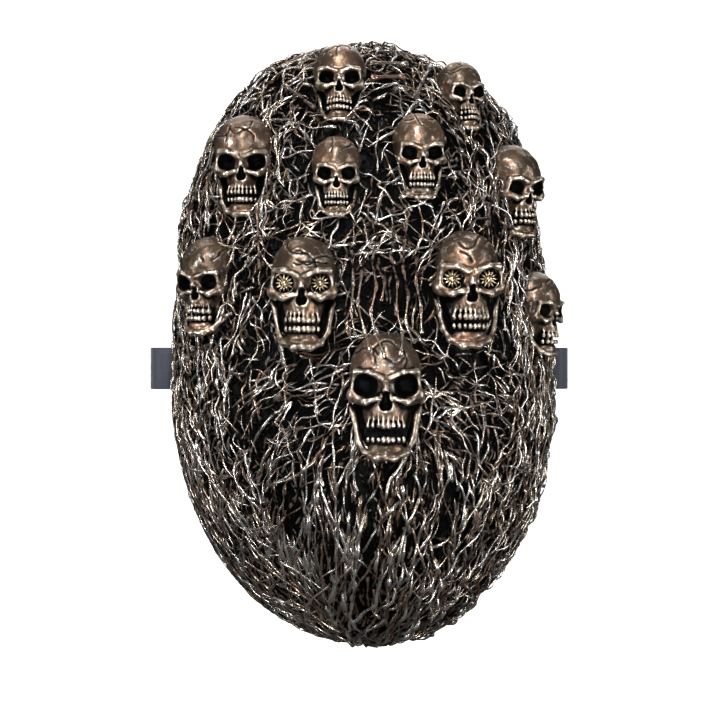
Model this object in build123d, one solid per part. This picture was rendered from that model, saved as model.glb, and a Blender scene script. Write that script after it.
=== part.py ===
from build123d import *
import os
from math import cos, pi, radians, sin

# Full-face latex costume mask: a half-egg shell that covers a face from chin to crown, overlaid with
# mats of root-like strands, eleven small cast skulls, and an elastic strap that goes round the head.
# Frame, in millimetres: X to the right as seen from in front, -Y the way the mask faces, +Z up.
# The origin is the middle of the face opening: the symmetry plane, the rim plane and the eye line.

os.makedirs("parts", exist_ok=True)

# ---- driving dimensions -------------------------------------------------------------------------
DOME_RADIUS = 88.0        # outer half width of the shell at its widest
DOME_WIDEST_Z = -55.0     # height of that widest place
DOME_UP = 163.0           # from there up to the crown
DOME_DOWN = 112.0         # from there down to the chin
CROWN_SQUARENESS = 2.8    # exponent of the crown's superellipse; 2 is a plain ellipse
POLE_FLAT = 1.5           # radius of the flat at the very top and bottom
PROFILE_STEPS = 12        # points on the profile above, and below, the widest place
SHELL_WALL = 3.0
MAT_THICK = 4.5           # strand mats stand this far out of the shell
BOND_GAP = 0.02           # glue line between a casting and what it is bonded to

CROWN_MAT_Z = 72.0        # mats meet at this height ...
BEARD_MAT_Z = -82.0       # ... and at this one
CENTRE_MAT_ANGLE = 30.0   # half width of the middle mat, in degrees round the dome

PAD_THICK = 8.0
BROW_PAD = dict(angle=(-38, 38), z=(28, 56))
CHEEK_PAD = dict(angle=(44, 70), z=(-62, -22))

STRAP_Z = -38.0           # middle of the strap
STRAP_WIDTH = 20.0
TAB_THICK = 1.5           # webbing tab that loops round the shell's edge
BAND_THICK = 1.3          # elastic band
SLOT_Y = (-11.0, -6.5)    # strap slot in the shell, front edge to back edge
SLOT_HEIGHT = 24.0
TAB_INNER_X = 82.5        # middle of the tab's inner run
TAB_BULGE_X = 100.2       # middle of the tab where it stands furthest out
TAB_END_Y = 32.0
PIVOT_Y = 22.0            # rivet between tab and band
RIVET_RADIUS = 1.5
RIVET_CAP_RADIUS = 4.0
RIVET_CAP_THICK = 1.0
RUNNING_GAP = 0.05        # round a rivet, and between layers that slide on each other
BAND_X = TAB_INNER_X - TAB_THICK / 2 - 0.2 - BAND_THICK / 2
BAND_BACK_Y = 112.0       # middle of the band behind the head
BAND_CORNER = 50.0
STRETCH_Y = 52.0          # the side runs end here and the rear run begins
TAIL_LENGTH = 64.0        # doubled-over end of the band
SLIDER_LENGTH = 20.0
SLIDER_RAIL = 3.0
SLIDER_BAR = 1.2
SLIDER_GAP = 0.3

# ---- the skulls ---------------------------------------------------------------------------------
# Each: angle round the dome from the front (positive to +X), height, crown-to-chin size, how far its
# middle stands out of the shell, and the way it faces (yaw towards +X, pitch upwards), in degrees.
SKULLS = {
    "skull_crown_left": dict(angle=-16.1, z=94.5, size=41, lift=5.5, yaw=-8, pitch=12),
    "skull_crown_right": dict(angle=43.5, z=90.0, size=35, lift=6, yaw=22, pitch=8),
    "skull_temple_left": dict(angle=-50.4, z=56.6, size=49, lift=2, yaw=-12, pitch=0),
    "skull_brow_left": dict(angle=-14.4, z=50.9, size=38, lift=2, yaw=-6, pitch=0),
    "skull_brow_right": dict(angle=14.2, z=60.5, size=41, lift=3, yaw=2, pitch=0),
    "skull_temple_right": dict(angle=55.5, z=45.7, size=45, lift=2, yaw=32, pitch=0),
    "skull_cheek_left": dict(angle=-58.8, z=0.8, size=47, lift=2, yaw=-38, pitch=0),
    "skull_eye_left": dict(angle=-23.0, z=-3.6, size=53, lift=4, yaw=-10, pitch=0),
    "skull_eye_right": dict(angle=26.0, z=-1.6, size=55, lift=4, yaw=4, pitch=0),
    "skull_cheek_right": dict(angle=60.5, z=-12.0, size=41, lift=2, yaw=48, pitch=0),
    "skull_mouth": dict(angle=0.6, z=-51.0, size=59, lift=6, yaw=-6, pitch=0),
}
EYE_SKULLS = ("skull_eye_left", "skull_eye_right")
MOUTH_SKULL = "skull_mouth"

# Proportions of a skull, as shares of its crown-to-chin size.
CRANIUM_R, CRANIUM_Z = 0.295, 0.205
FACE_TOP_R, FACE_CHIN_R, FACE_TOP_Z, CHIN_Z = 0.28, 0.17, 0.08, -0.5
CHEEK_R, CHEEK_X, CHEEK_Y, CHEEK_Z = 0.08, 0.225, -0.17, -0.03
BROW_R, BROW_LENGTH, BROW_Y, BROW_Z = 0.05, 0.50, -0.24, 0.19
SOCKET_R, SOCKET_X, SOCKET_Z, SOCKET_FLOOR = 0.10, 0.155, 0.09, -0.20
NOSE_R, NOSE_HEIGHT, NOSE_Z = 0.06, 0.16, -0.04
MOUTH_WIDTH, MOUTH_Z, CLOSED_MOUTH, OPEN_MOUTH = 0.27, -0.265, 0.02, 0.07
SIGHT_R = 0.075           # bore behind an eye socket
POCKET_WIDTH, POCKET_HEIGHT, POCKET_FRONT = 0.50, 0.22, -0.15
BREATH_WIDTH, BREATH_HEIGHT, BREATH_FRONT = 0.34, 0.16, -0.15
GAUZE_THICK, GAUZE_GAP = 0.4, 0.1   # cloth across the front end of a pocket, and the room round it
CUTTER_REACH = 0.8        # cutters run this far past the skull
KEEP_OUT_WIDTH, KEEP_OUT_HEIGHT, KEEP_OUT_CORNER = 0.66, 1.05, 0.2   # clear space in the mats

# Eye grilles: a flower of petals between a hub and a rim, sitting on the floor of a socket.
GRILLE_RIM_R, GRILLE_RIM, GRILLE_HUB_R, GRILLE_THICK = 0.098, 0.012, 0.03, 0.8
PETALS, PETAL_WIDTH = 12, 0.017

# Long bones laid over the mats: angle round the dome, height, tilt from upright, length, shaft radius.
LONG_BONES = [
    (9.5, 98.5, 90, 17, 1.0),
    (6.5, 93.0, 86, 15, 1.1),
    (24.0, 92.0, 40, 26, 0.8),
    (-32.0, 85.0, -55, 22, 0.8),
    (38.0, 38.0, 25, 24, 0.8),
    (-38.0, 22.0, -8, 30, 0.8),
]
FINGER_BONES = [
    (-7.5, -2.0, 4, 30, 1.0),
    (-4.0, -5.0, -5, 26, 0.9),
    (2.5, -1.0, 6, 28, 1.0),
    (6.5, -4.0, -6, 28, 0.9),
    (11.0, -2.0, 3, 28, 1.0),
]
BONE_KNOB = 1.7           # knob radius over shaft radius
BONE_PROBES = 15          # places along a bone where its height over the mats is tested
BONE_REST = 0.9           # bones lie this far above the mats


# ---- the dome -----------------------------------------------------------------------------------
def dome_radius(z, grow=0.0):
    """Half width of the dome, grown outwards by `grow`, at height z."""
    radius = DOME_RADIUS + grow
    if z >= DOME_WIDEST_Z:
        share = (z - DOME_WIDEST_Z) / (DOME_UP + grow)
        return radius * (1 - share**CROWN_SQUARENESS) ** (1 / CROWN_SQUARENESS)
    share = (DOME_WIDEST_Z - z) / (DOME_DOWN + grow)
    return radius * (1 - share**2) ** 0.5


def dome_profile(grow):
    """Edge of the dome from crown to chin, in the XZ plane, with a small flat at each end."""
    top, bottom = DOME_WIDEST_Z + DOME_UP + grow, DOME_WIDEST_Z - DOME_DOWN - grow
    points = [(POLE_FLAT, 0, top)]
    for i in range(1, PROFILE_STEPS):
        z = DOME_WIDEST_Z + (DOME_UP + grow) * cos(pi / 2 * i / PROFILE_STEPS) ** (2 / CROWN_SQUARENESS)
        points.append((dome_radius(z, grow), 0, z))
    for i in range(PROFILE_STEPS):
        z = DOME_WIDEST_Z - (DOME_DOWN + grow) * sin(pi / 2 * i / PROFILE_STEPS)
        points.append((dome_radius(z, grow), 0, z))
    points.append((POLE_FLAT, 0, bottom))
    return points


def turned(face, angles):
    """A solid made by turning a face in the XZ plane about Z, between two angles from the front."""
    first, last = angles
    return revolve(face, Axis.Z, revolution_arc=last - first).rotate(Axis.Z, first - 90)


def layer(inner, outer, angles=(-90, 90), heights=None):
    """The part of the dome between two offsets of its profile, two angles and two heights."""
    near, far = dome_profile(inner), dome_profile(outer)
    tangents = [(1, 0, 0), (-1, 0, 0)]
    edges = [Spline(*near, tangents=tangents), Spline(*far, tangents=tangents)]
    for i in (0, -1):
        edges.append(Polyline(near[i], (0, 0, near[i][2]), (0, 0, far[i][2]), far[i]))
    face = make_face(Wire([edge for line in edges for edge in line.edges()]))
    if heights:
        low, high = heights
        window = Plane.XZ * Pos(DOME_RADIUS, (low + high) / 2) * Rectangle(2.2 * DOME_RADIUS, high - low)
        face = face & window
    return turned(face, angles)


def filled_dome(grow):
    """Everything inside the dome's surface, in front of the rim plane."""
    far = dome_profile(grow)
    spine = Polyline(far[0], (0, 0, far[0][2]), (0, 0, far[-1][2]), far[-1])
    curve = Spline(*far, tangents=[(1, 0, 0), (-1, 0, 0)])
    return turned(make_face(Wire([*curve.edges(), *spine.edges()])), (-90, 90))


def on_dome(angle, z, out):
    """The point at that angle from the front and that height, `out` beyond the shell's surface."""
    radius = dome_radius(z) + out
    return Vector(radius * sin(radians(angle)), -radius * cos(radians(angle)), z)


# ---- skull castings -----------------------------------------------------------------------------
def placed(skull):
    """Where a skull's own frame (facing -Y, up +Z, origin at its middle) goes on the mask."""
    centre = on_dome(skull["angle"], skull["z"], skull["lift"])
    return Pos(centre) * Rot(0, 0, skull["yaw"]) * Rot(-skull["pitch"], 0, 0)


def mirrored_pair(shape):
    return [shape, shape.mirror(Plane.YZ)]


def prism(profile, front, back):
    """A profile drawn in X and Z, run along Y from `front` to `back`."""
    return extrude(Plane((0, back, 0), x_dir=(1, 0, 0), z_dir=(0, -1, 0)) * profile, back - front)


def pocket(size, width, height, z, front, back=CUTTER_REACH):
    """A slot-shaped pocket cut from behind up to `front`."""
    flat = Pos(0, z * size) * SlotOverall(width * size, height * size)
    return prism(flat, front * size, back * size)


def skull_blank(size):
    cranium = Pos(0, 0, CRANIUM_Z * size) * Sphere(CRANIUM_R * size)
    face_height = (FACE_TOP_Z - CHIN_Z) * size
    face = Cone(FACE_CHIN_R * size, FACE_TOP_R * size, face_height)
    face = Pos(0, -0.03 * size, (FACE_TOP_Z + CHIN_Z) / 2 * size) * face
    cheek = Pos(CHEEK_X * size, CHEEK_Y * size, CHEEK_Z * size) * Sphere(CHEEK_R * size)
    brow = Cylinder(BROW_R * size, BROW_LENGTH * size, rotation=(0, 90, 0))
    brow = Pos(0, BROW_Y * size, BROW_Z * size) * brow
    return cranium + face + mirrored_pair(cheek) + brow


def face_cutters(size, mouth_gap):
    """Eye sockets, nose and mouth, as tools that run in from the front."""
    front = -CUTTER_REACH * size
    round_socket = Pos(SOCKET_X * size, SOCKET_Z * size) * Circle(SOCKET_R * size)
    socket = prism(round_socket, front, SOCKET_FLOOR * size)
    nose = Pos(0, -0.34 * size, NOSE_Z * size) * Cone(NOSE_R * size, 0.01 * size, NOSE_HEIGHT * size)
    mouth = prism(
        Pos(0, MOUTH_Z * size) * Rectangle(MOUTH_WIDTH * size, mouth_gap * size), front, BREATH_FRONT * size
    )
    return [*mirrored_pair(socket), nose, mouth]


def sight_bores(size):
    """Bores from both socket floors into the pocket behind."""
    bore = prism(
        Pos(SOCKET_X * size, SOCKET_Z * size) * Circle(SIGHT_R * size),
        (SOCKET_FLOOR - 0.05) * size,
        (POCKET_FRONT + 0.05) * size,
    )
    return mirrored_pair(bore)


def through_pocket(name, skull):
    """The pocket behind an eye skull's sockets or the mouth skull's teeth, in the mask's frame."""
    size = skull["size"]
    if name in EYE_SKULLS:
        return placed(skull) * pocket(size, POCKET_WIDTH, POCKET_HEIGHT, SOCKET_Z, POCKET_FRONT)
    return placed(skull) * pocket(size, BREATH_WIDTH, BREATH_HEIGHT, MOUTH_Z, BREATH_FRONT)


def make_gauze(name, skull):
    """See-through cloth glued across the front end of a pocket."""
    size = skull["size"]
    inset, back = GAUZE_GAP * 2 / size, GAUZE_THICK / size
    if name in EYE_SKULLS:
        width, height, z, front = POCKET_WIDTH, POCKET_HEIGHT, SOCKET_Z, POCKET_FRONT
    else:
        width, height, z, front = BREATH_WIDTH, BREATH_HEIGHT, MOUTH_Z, BREATH_FRONT
    return placed(skull) * pocket(size, width - inset, height - inset, z, front, front + back)


def make_skull(name, skull, dome):
    size = skull["size"]
    gap = OPEN_MOUTH if name == MOUTH_SKULL else CLOSED_MOUTH
    solid = skull_blank(size) - face_cutters(size, gap)
    if name in EYE_SKULLS:
        solid -= sight_bores(size)
    solid = placed(skull) * solid
    if name in EYE_SKULLS or name == MOUTH_SKULL:
        solid -= through_pocket(name, skull)
    return largest(solid - dome)


def largest(shape):
    return max(shape.solids(), key=lambda solid: solid.volume)


def make_grille(skull, side):
    """Flower-shaped grille for one socket: a rim, a hub and the petals between them."""
    size = skull["size"]
    rim_r, hub_r = GRILLE_RIM_R * size, GRILLE_HUB_R * size
    flat = Circle(rim_r) - Circle(rim_r - GRILLE_RIM * size) + Circle(hub_r)
    reach = rim_r - GRILLE_RIM * size / 2 - hub_r / 2
    for i in range(PETALS):
        petal = Pos(hub_r / 2 + reach / 2, 0) * Rectangle(reach, PETAL_WIDTH * size)
        flat += Rot(0, 0, 360 * i / PETALS) * petal
    floor = SOCKET_FLOOR * size
    solid = prism(Pos(side * SOCKET_X * size, SOCKET_Z * size) * flat, floor - GRILLE_THICK, floor)
    return placed(skull) * solid


# ---- shell, mats, bones, pads -------------------------------------------------------------------
def strap_slot(side):
    """The slot through the shell that the tab passes through, with room in the mat outside it."""
    front, back = SLOT_Y
    middle_x = side * (DOME_RADIUS - SHELL_WALL / 2)
    return Pos(middle_x, (front + back) / 2, STRAP_Z) * Box(12, back - front, SLOT_HEIGHT)


def strap_clearance(side):
    """Room in the mat for the tab where it bends round the shell's edge."""
    return Pos(side * (DOME_RADIUS + 5), -7, STRAP_Z) * Box(16, 18, SLOT_HEIGHT + 4)


def make_shell(pockets):
    shell = layer(-SHELL_WALL, 0)
    for cutter in [*pockets, strap_slot(1), strap_slot(-1)]:
        shell -= cutter
    return largest(shell)


def make_mats(keep_outs):
    """The strand mats as plain layers on the shell, one for each patch that was laid by hand."""
    edge = CENTRE_MAT_ANGLE
    patches = {
        "mat_crown": ((-90, 90), (CROWN_MAT_Z, 200)),
        "mat_left": ((-90, -edge), (BEARD_MAT_Z, CROWN_MAT_Z)),
        "mat_centre": ((-edge, edge), (BEARD_MAT_Z, CROWN_MAT_Z)),
        "mat_right": ((edge, 90), (BEARD_MAT_Z, CROWN_MAT_Z)),
        "mat_beard": ((-90, 90), (-200, BEARD_MAT_Z)),
    }
    mats = {}
    for name, (angles, heights) in patches.items():
        mat = layer(BOND_GAP, MAT_THICK, angles, heights)
        for cutter in keep_outs:
            mat -= cutter
        mats[name] = mat
    return mats


def keep_out(skull):
    size = skull["size"]
    flat = RectangleRounded(KEEP_OUT_WIDTH * size, KEEP_OUT_HEIGHT * size, KEEP_OUT_CORNER * size)
    return placed(skull) * prism(flat, -CUTTER_REACH * size, 0.6 * size)


def bone_frame(angle, z, tilt, rise):
    """A frame `rise` above the mats: Z along the surface's normal, Y up the slope, then tilted."""
    slope = (dome_radius(z + 1, MAT_THICK) - dome_radius(z - 1, MAT_THICK)) / 2
    turn = radians(angle)
    normal = Vector(sin(turn), -cos(turn), -slope).normalized()
    foot = on_dome(angle, z, MAT_THICK)
    across = Vector(cos(turn), sin(turn), 0)
    return Plane(foot + normal * rise, x_dir=across, z_dir=normal).location * Rot(0, 0, -tilt)


def clears_mats(frame, length, distance):
    """Whether a bone along the frame's Y stays that far outside the mats, over its whole length."""
    for i in range(BONE_PROBES):
        spot = (frame * Pos(0, length * (i / (BONE_PROBES - 1) - 0.5), 0)).position
        if spot.Z >= DOME_WIDEST_Z + DOME_UP + MAT_THICK:
            continue
        if (spot.X**2 + spot.Y**2) ** 0.5 < dome_radius(spot.Z, MAT_THICK) + distance:
            return False
    return True


def make_bones(table):
    """Dumb-bell shaped bones, each its own solid, lying on the mats."""
    bones = []
    for angle, z, tilt, length, radius in table:
        knob = BONE_KNOB * radius
        bone = Rot(90, 0, 0) * Cylinder(radius, length - 2 * knob)
        for end in (-1, 1):
            bone += Pos(0, end * (length / 2 - knob), 0) * Sphere(knob)
        rise = knob
        while not clears_mats(bone_frame(angle, z, tilt, rise), length, knob + BONE_REST):
            rise += 0.25
        bones.append(bone_frame(angle, z, tilt, rise) * bone)
    return Compound(children=bones)


def make_pad(angles, heights):
    skin = -SHELL_WALL - BOND_GAP
    return layer(skin - PAD_THICK, skin, angles, heights)


# ---- strap --------------------------------------------------------------------------------------
def webbing(points, radii, thick):
    """A flat band standing on edge, run along straight stretches joined by arcs."""
    path = FilletPolyline(*[(x, y, STRAP_Z) for x, y in points], radius=radii)
    start = path @ 0
    across = Plane(start, x_dir=(0, 0, 1), z_dir=path % 0)
    return sweep(across * Rectangle(STRAP_WIDTH, thick), path)


def rivet_hole(side, radius):
    return Pos(side * TAB_INNER_X, PIVOT_Y, STRAP_Z) * Rot(0, 90, 0) * Cylinder(radius, 12)


def make_tab(side):
    """Webbing tab: in through the slot, back along the inside, and sewn to itself behind the rim."""
    outer_x = TAB_INNER_X + TAB_THICK + 0.1
    slot_y = (SLOT_Y[0] + SLOT_Y[1]) / 2 - 0.2
    points = [
        (TAB_INNER_X, TAB_END_Y),
        (TAB_INNER_X, slot_y),
        (TAB_BULGE_X, slot_y),
        (TAB_BULGE_X, 5.0),
        (outer_x, 13.0),
        (outer_x, TAB_END_Y),
    ]
    radii = [2.0, 6.5, 4.0, 5.0]
    tab = webbing([(side * x, y) for x, y in points], radii, TAB_THICK)
    return tab - rivet_hole(side, RIVET_RADIUS)


def make_rivet(side):
    """Double-capped rivet that holds the band to the tab and lets it turn."""
    inner = BAND_X - BAND_THICK / 2 - RUNNING_GAP
    outer = TAB_INNER_X + TAB_THICK * 1.5 + 0.1
    turn = Rot(0, 90, 0)
    shank = Pos((inner + outer) / 2, 0, 0) * turn * Cylinder(RIVET_RADIUS, outer - inner)
    cap = Cylinder(RIVET_CAP_RADIUS, RIVET_CAP_THICK)
    caps = [
        Pos(inner - RIVET_CAP_THICK / 2, 0, 0) * turn * cap,
        Pos(outer + RIVET_CAP_THICK / 2, 0, 0) * turn * cap,
    ]
    rivet = Pos(0, PIVOT_Y, STRAP_Z) * (shank + caps)
    return rivet if side > 0 else rivet.mirror(Plane.YZ)


def make_side_band(side):
    """Elastic from the rivet back to where the rear run begins, with a round end on the rivet."""
    start = (side * BAND_X, PIVOT_Y, STRAP_Z)
    length = STRETCH_Y - PIVOT_Y
    run = Pos(side * BAND_X, PIVOT_Y + length / 2, STRAP_Z) * Box(BAND_THICK, length, STRAP_WIDTH)
    end = Pos(start) * Rot(0, 90, 0) * Cylinder(STRAP_WIDTH / 2, BAND_THICK)
    return run + end - rivet_hole(side, RIVET_RADIUS + RUNNING_GAP)


def make_rear_band():
    points = [
        (BAND_X, STRETCH_Y),
        (BAND_X, BAND_BACK_Y),
        (-BAND_X, BAND_BACK_Y),
        (-BAND_X, STRETCH_Y),
    ]
    return webbing(points, BAND_CORNER, BAND_THICK)


def tail_y():
    """Middle of the doubled-over end, just outside the rear band."""
    return BAND_BACK_Y + BAND_THICK + RUNNING_GAP


def make_tail():
    return Pos(0, tail_y(), STRAP_Z) * Box(TAIL_LENGTH, BAND_THICK, STRAP_WIDTH)


def make_slider():
    """Slider for the length: two side bars inside the webbing, one middle bar outside it."""
    near = BAND_BACK_Y - BAND_THICK / 2 - SLIDER_GAP
    far = tail_y() + BAND_THICK / 2 + SLIDER_GAP
    depth = far - near + 2 * SLIDER_BAR
    middle_y = (near + far) / 2
    opening = STRAP_WIDTH + 2 * SLIDER_GAP
    rail = Box(SLIDER_LENGTH, depth, SLIDER_RAIL)
    side_bar = Box(SLIDER_RAIL, SLIDER_BAR, opening)
    centre_bar = Box(SLIDER_RAIL + 1, SLIDER_BAR, opening)
    slider = Pos(0, far + SLIDER_BAR / 2, STRAP_Z) * centre_bar
    for sign in (-1, 1):
        slider += Pos(0, middle_y, STRAP_Z + sign * (opening + SLIDER_RAIL) / 2) * rail
        bar_x = sign * (SLIDER_LENGTH - SLIDER_RAIL) / 2
        slider += Pos(bar_x, near - SLIDER_BAR / 2, STRAP_Z) * side_bar
    return slider


# ---- build everything ---------------------------------------------------------------------------
def build():
    dome = filled_dome(BOND_GAP)
    pockets = [through_pocket(name, SKULLS[name]) for name in (*EYE_SKULLS, MOUTH_SKULL)]
    parts = {"mask_shell": make_shell(pockets)}
    for name, skull in SKULLS.items():
        parts[name] = make_skull(name, skull, dome)
    for name in EYE_SKULLS:
        for side, label in ((-1, "a"), (1, "b")):
            parts[name.replace("skull", "grille") + "_" + label] = make_grille(SKULLS[name], side)
    for name, label in zip((*EYE_SKULLS, MOUTH_SKULL), ("sight_left", "sight_right", "breath")):
        parts["gauze_" + label] = make_gauze(name, SKULLS[name])
    keep_outs = [keep_out(skull) for skull in SKULLS.values()]
    parts |= make_mats([*keep_outs, strap_clearance(1), strap_clearance(-1)])
    parts["long_bones"] = make_bones(LONG_BONES)
    parts["finger_bones"] = make_bones(FINGER_BONES)
    parts["brow_pad"] = make_pad(BROW_PAD["angle"], BROW_PAD["z"])
    cheek_angles = CHEEK_PAD["angle"]
    parts["cheek_pad_right"] = make_pad(cheek_angles, CHEEK_PAD["z"])
    parts["cheek_pad_left"] = make_pad((-cheek_angles[1], -cheek_angles[0]), CHEEK_PAD["z"])
    for side, label in ((-1, "left"), (1, "right")):
        parts[f"strap_tab_{label}"] = make_tab(side)
        parts[f"strap_rivet_{label}"] = make_rivet(side)
        parts[f"band_side_{label}"] = make_side_band(side)
    parts["band_rear"] = make_rear_band()
    parts["band_tail"] = make_tail()
    parts["slider"] = make_slider()
    return parts


for part_name, part in build().items():
    export_step(part, f"parts/{part_name}.step")
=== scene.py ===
import math
from collections import namedtuple
from types import SimpleNamespace

import bpy
import bmesh
import numpy as np
from mathutils import Matrix, Vector


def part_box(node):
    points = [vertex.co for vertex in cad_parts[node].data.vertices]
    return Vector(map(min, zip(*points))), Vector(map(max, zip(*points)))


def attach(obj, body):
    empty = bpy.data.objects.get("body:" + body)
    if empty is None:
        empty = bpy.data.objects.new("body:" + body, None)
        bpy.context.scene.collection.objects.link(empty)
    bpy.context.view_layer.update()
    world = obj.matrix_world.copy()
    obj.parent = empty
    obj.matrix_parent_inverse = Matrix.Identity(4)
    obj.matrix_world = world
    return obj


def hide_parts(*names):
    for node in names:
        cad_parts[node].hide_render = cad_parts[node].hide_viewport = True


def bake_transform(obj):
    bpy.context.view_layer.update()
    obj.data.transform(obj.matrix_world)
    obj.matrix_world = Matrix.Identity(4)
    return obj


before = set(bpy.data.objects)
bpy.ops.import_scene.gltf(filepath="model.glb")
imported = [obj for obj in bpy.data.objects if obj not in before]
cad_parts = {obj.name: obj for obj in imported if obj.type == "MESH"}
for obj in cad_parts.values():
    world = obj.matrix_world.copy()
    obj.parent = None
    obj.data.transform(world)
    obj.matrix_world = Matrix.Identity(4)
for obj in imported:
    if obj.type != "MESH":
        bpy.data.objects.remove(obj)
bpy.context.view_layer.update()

# Full-face latex mask: skulls cast into mats of root-like strands, on a half-egg shell.
# Metres, X to the right as seen from in front, -Y the way the mask faces, +Z up.

MM = 0.001

# ---- the shell's outer surface ------------------------------------------------------------------
shell_low, shell_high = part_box("mask_shell")
WIDEST_Z = -55 * MM
RADIUS = shell_high.x
UP = shell_high.z - WIDEST_Z
DOWN = WIDEST_Z - shell_low.z
SQUARENESS = 2.8
RIM_Y = 0.4 * MM          # strands may reach this far past the rim plane
TOP_Z = 0.1075            # the shell has no width to speak of above this height

# ---- the skulls: angle round the shell, height, crown-to-chin size, lift, yaw and pitch -----------
SKULLS = {
    "skull_crown_left": (-16.1, 94.5, 41, 5.5, -8, 12),
    "skull_crown_right": (43.5, 90.0, 35, 6, 22, 8),
    "skull_temple_left": (-50.4, 56.6, 49, 2, -12, 0),
    "skull_brow_left": (-14.4, 50.9, 38, 2, -6, 0),
    "skull_brow_right": (14.2, 60.5, 41, 3, 2, 0),
    "skull_temple_right": (55.5, 45.7, 45, 2, 32, 0),
    "skull_cheek_left": (-58.8, 0.8, 47, 2, -38, 0),
    "skull_eye_left": (-23.0, -3.6, 53, 4, -10, 0),
    "skull_eye_right": (26.0, -1.6, 55, 4, 4, 0),
    "skull_cheek_right": (60.5, -12.0, 41, 2, 48, 0),
    "skull_mouth": (0.6, -51.0, 59, 6, -6, 0),
}
EYE_SKULLS = ("skull_eye_left", "skull_eye_right")
MOUTH_SKULL = "skull_mouth"
SOCKET_X, SOCKET_Z = 0.155, 0.09
SKULL_GRID = 94           # grid cells from crown to chin


# ---- small helpers ------------------------------------------------------------------------------
def smoothstep(low, high, x):
    t = np.clip((x - low) / (high - low), 0, 1)
    return t * t * (3 - 2 * t)


def dome_radius(z):
    """Half width of the shell at height z."""
    if z >= WIDEST_Z:
        return RADIUS * (1 - ((z - WIDEST_Z) / UP) ** SQUARENESS) ** (1 / SQUARENESS)
    return RADIUS * (1 - ((WIDEST_Z - z) / DOWN) ** 2) ** 0.5


def over_dome(points):
    """How far points stand out of the shell's surface, and the outward direction there."""
    x, y, z = points[..., 0], points[..., 1], points[..., 2]
    rho = np.sqrt(x * x + y * y) + 1e-9
    rise = z - WIDEST_Z
    above = rise >= 0
    reach = np.where(above, UP, DOWN)
    power = np.where(above, SQUARENESS, 2.0)
    a, b = rho / RADIUS, np.abs(rise) / reach + 1e-9
    level = (a**power + b**power) ** (1 / power)
    g_rho = (a / level) ** (power - 1) / RADIUS
    g_z = (b / level) ** (power - 1) / reach * np.sign(rise)
    size = np.sqrt(g_rho**2 + g_z**2)
    normal = np.stack([x / rho * g_rho, y / rho * g_rho, g_z], -1) / size[..., None]
    return (level - 1) / size, normal


def on_dome(angle, z, out=0.0):
    """The place at an angle round the shell, at height z, that stands out from it so far."""
    r = dome_radius(z) + out
    return np.array([r * math.sin(angle), -r * math.cos(angle), z])


def skull_place(name):
    """Centre, turning matrix and size of a skull."""
    angle, z, size, lift, yaw, pitch = SKULLS[name]
    centre = Vector(on_dome(math.radians(angle), z * MM, lift * MM))
    turn = Matrix.Rotation(math.radians(yaw), 3, "Z") @ Matrix.Rotation(math.radians(-pitch), 3, "X")
    return centre, turn, size * MM


def new_object(name, mesh):
    piece = bpy.data.objects.new(name, mesh)
    bpy.context.scene.collection.objects.link(piece)
    return piece


def new_mesh(name, points, faces=()):
    mesh = bpy.data.meshes.new(name)
    mesh.from_pydata([tuple(p) for p in points], [], [tuple(f) for f in faces])
    mesh.update()
    return mesh


def set_points(mesh, points):
    mesh.vertices.foreach_set("co", np.ascontiguousarray(points, np.float32).ravel())


def quad_mesh(name, points, quads):
    """A mesh from arrays, for pieces with many faces."""
    mesh = bpy.data.meshes.new(name)
    mesh.vertices.add(len(points))
    set_points(mesh, points)
    mesh.loops.add(quads.size)
    mesh.loops.foreach_set("vertex_index", quads.astype(np.int32).ravel())
    mesh.polygons.add(len(quads))
    mesh.polygons.foreach_set("loop_start", np.arange(0, quads.size, quads.shape[1], dtype=np.int32))
    mesh.update(calc_edges=True)
    mesh.validate()
    return mesh


def set_attribute(mesh, name, values):
    attribute = mesh.attributes.get(name) or mesh.attributes.new(name, "FLOAT", "POINT")
    attribute.data.foreach_set("value", np.ascontiguousarray(values, np.float32))


def mesh_points(mesh):
    points = np.empty(len(mesh.vertices) * 3, np.float32)
    mesh.vertices.foreach_get("co", points)
    return points.reshape(-1, 3).astype(float)


def shade_smooth(mesh, angle=None):
    if angle is None:
        mesh.polygons.foreach_set("use_smooth", [True] * len(mesh.polygons))
    else:
        mesh.shade_smooth()
        mesh.set_sharp_from_angle(angle=math.radians(angle))


def turn_faces_out(mesh):
    work = bmesh.new()
    work.from_mesh(mesh)
    bmesh.ops.recalc_face_normals(work, faces=work.faces)
    work.to_mesh(mesh)
    work.free()


def applied(piece):
    """The piece's mesh with its modifiers worked into it; they are then taken off the piece."""
    mesh = bpy.data.meshes.new_from_object(piece.evaluated_get(bpy.context.evaluated_depsgraph_get()))
    piece.modifiers.clear()
    return mesh


def cad_copy(node, name):
    """A new piece with a copy of a CAD node's mesh."""
    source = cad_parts[node]
    mesh = source.data.copy()
    mesh.transform(source.matrix_world)
    mesh.materials.clear()
    return new_object(name, mesh)


def give(piece, body, slot, *nodes):
    """A finished piece rides on its body and stands for its CAD nodes, which it hides; slot is not used."""
    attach(piece, body)
    if nodes:
        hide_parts(*nodes)


# ---- shader building blocks ---------------------------------------------------------------------
def add(tree, kind, links=None, **values):
    """A node with its properties and unlinked inputs set, and its inputs linked."""
    made = tree.nodes.new(kind)
    for key, value in values.items():
        if hasattr(made, key):
            setattr(made, key, value)
        else:
            made.inputs[key.replace("_", " ")].default_value = value
    for key, source in (links or {}).items():
        tree.links.new(source, made.inputs[key])
    return made


def ramp(tree, source, stops):
    """A colour ramp; a stop is a place with a colour or a grey."""
    made = tree.nodes.new("ShaderNodeValToRGB")
    elements = made.color_ramp.elements
    while len(elements) < len(stops):
        elements.new(0.5)
    for element, (place, colour) in zip(elements, stops):
        element.position = place
        element.color = (*colour, 1) if isinstance(colour, tuple) else (colour, colour, colour, 1)
    tree.links.new(source, made.inputs["Fac"])
    return made.outputs["Color"]


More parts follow.
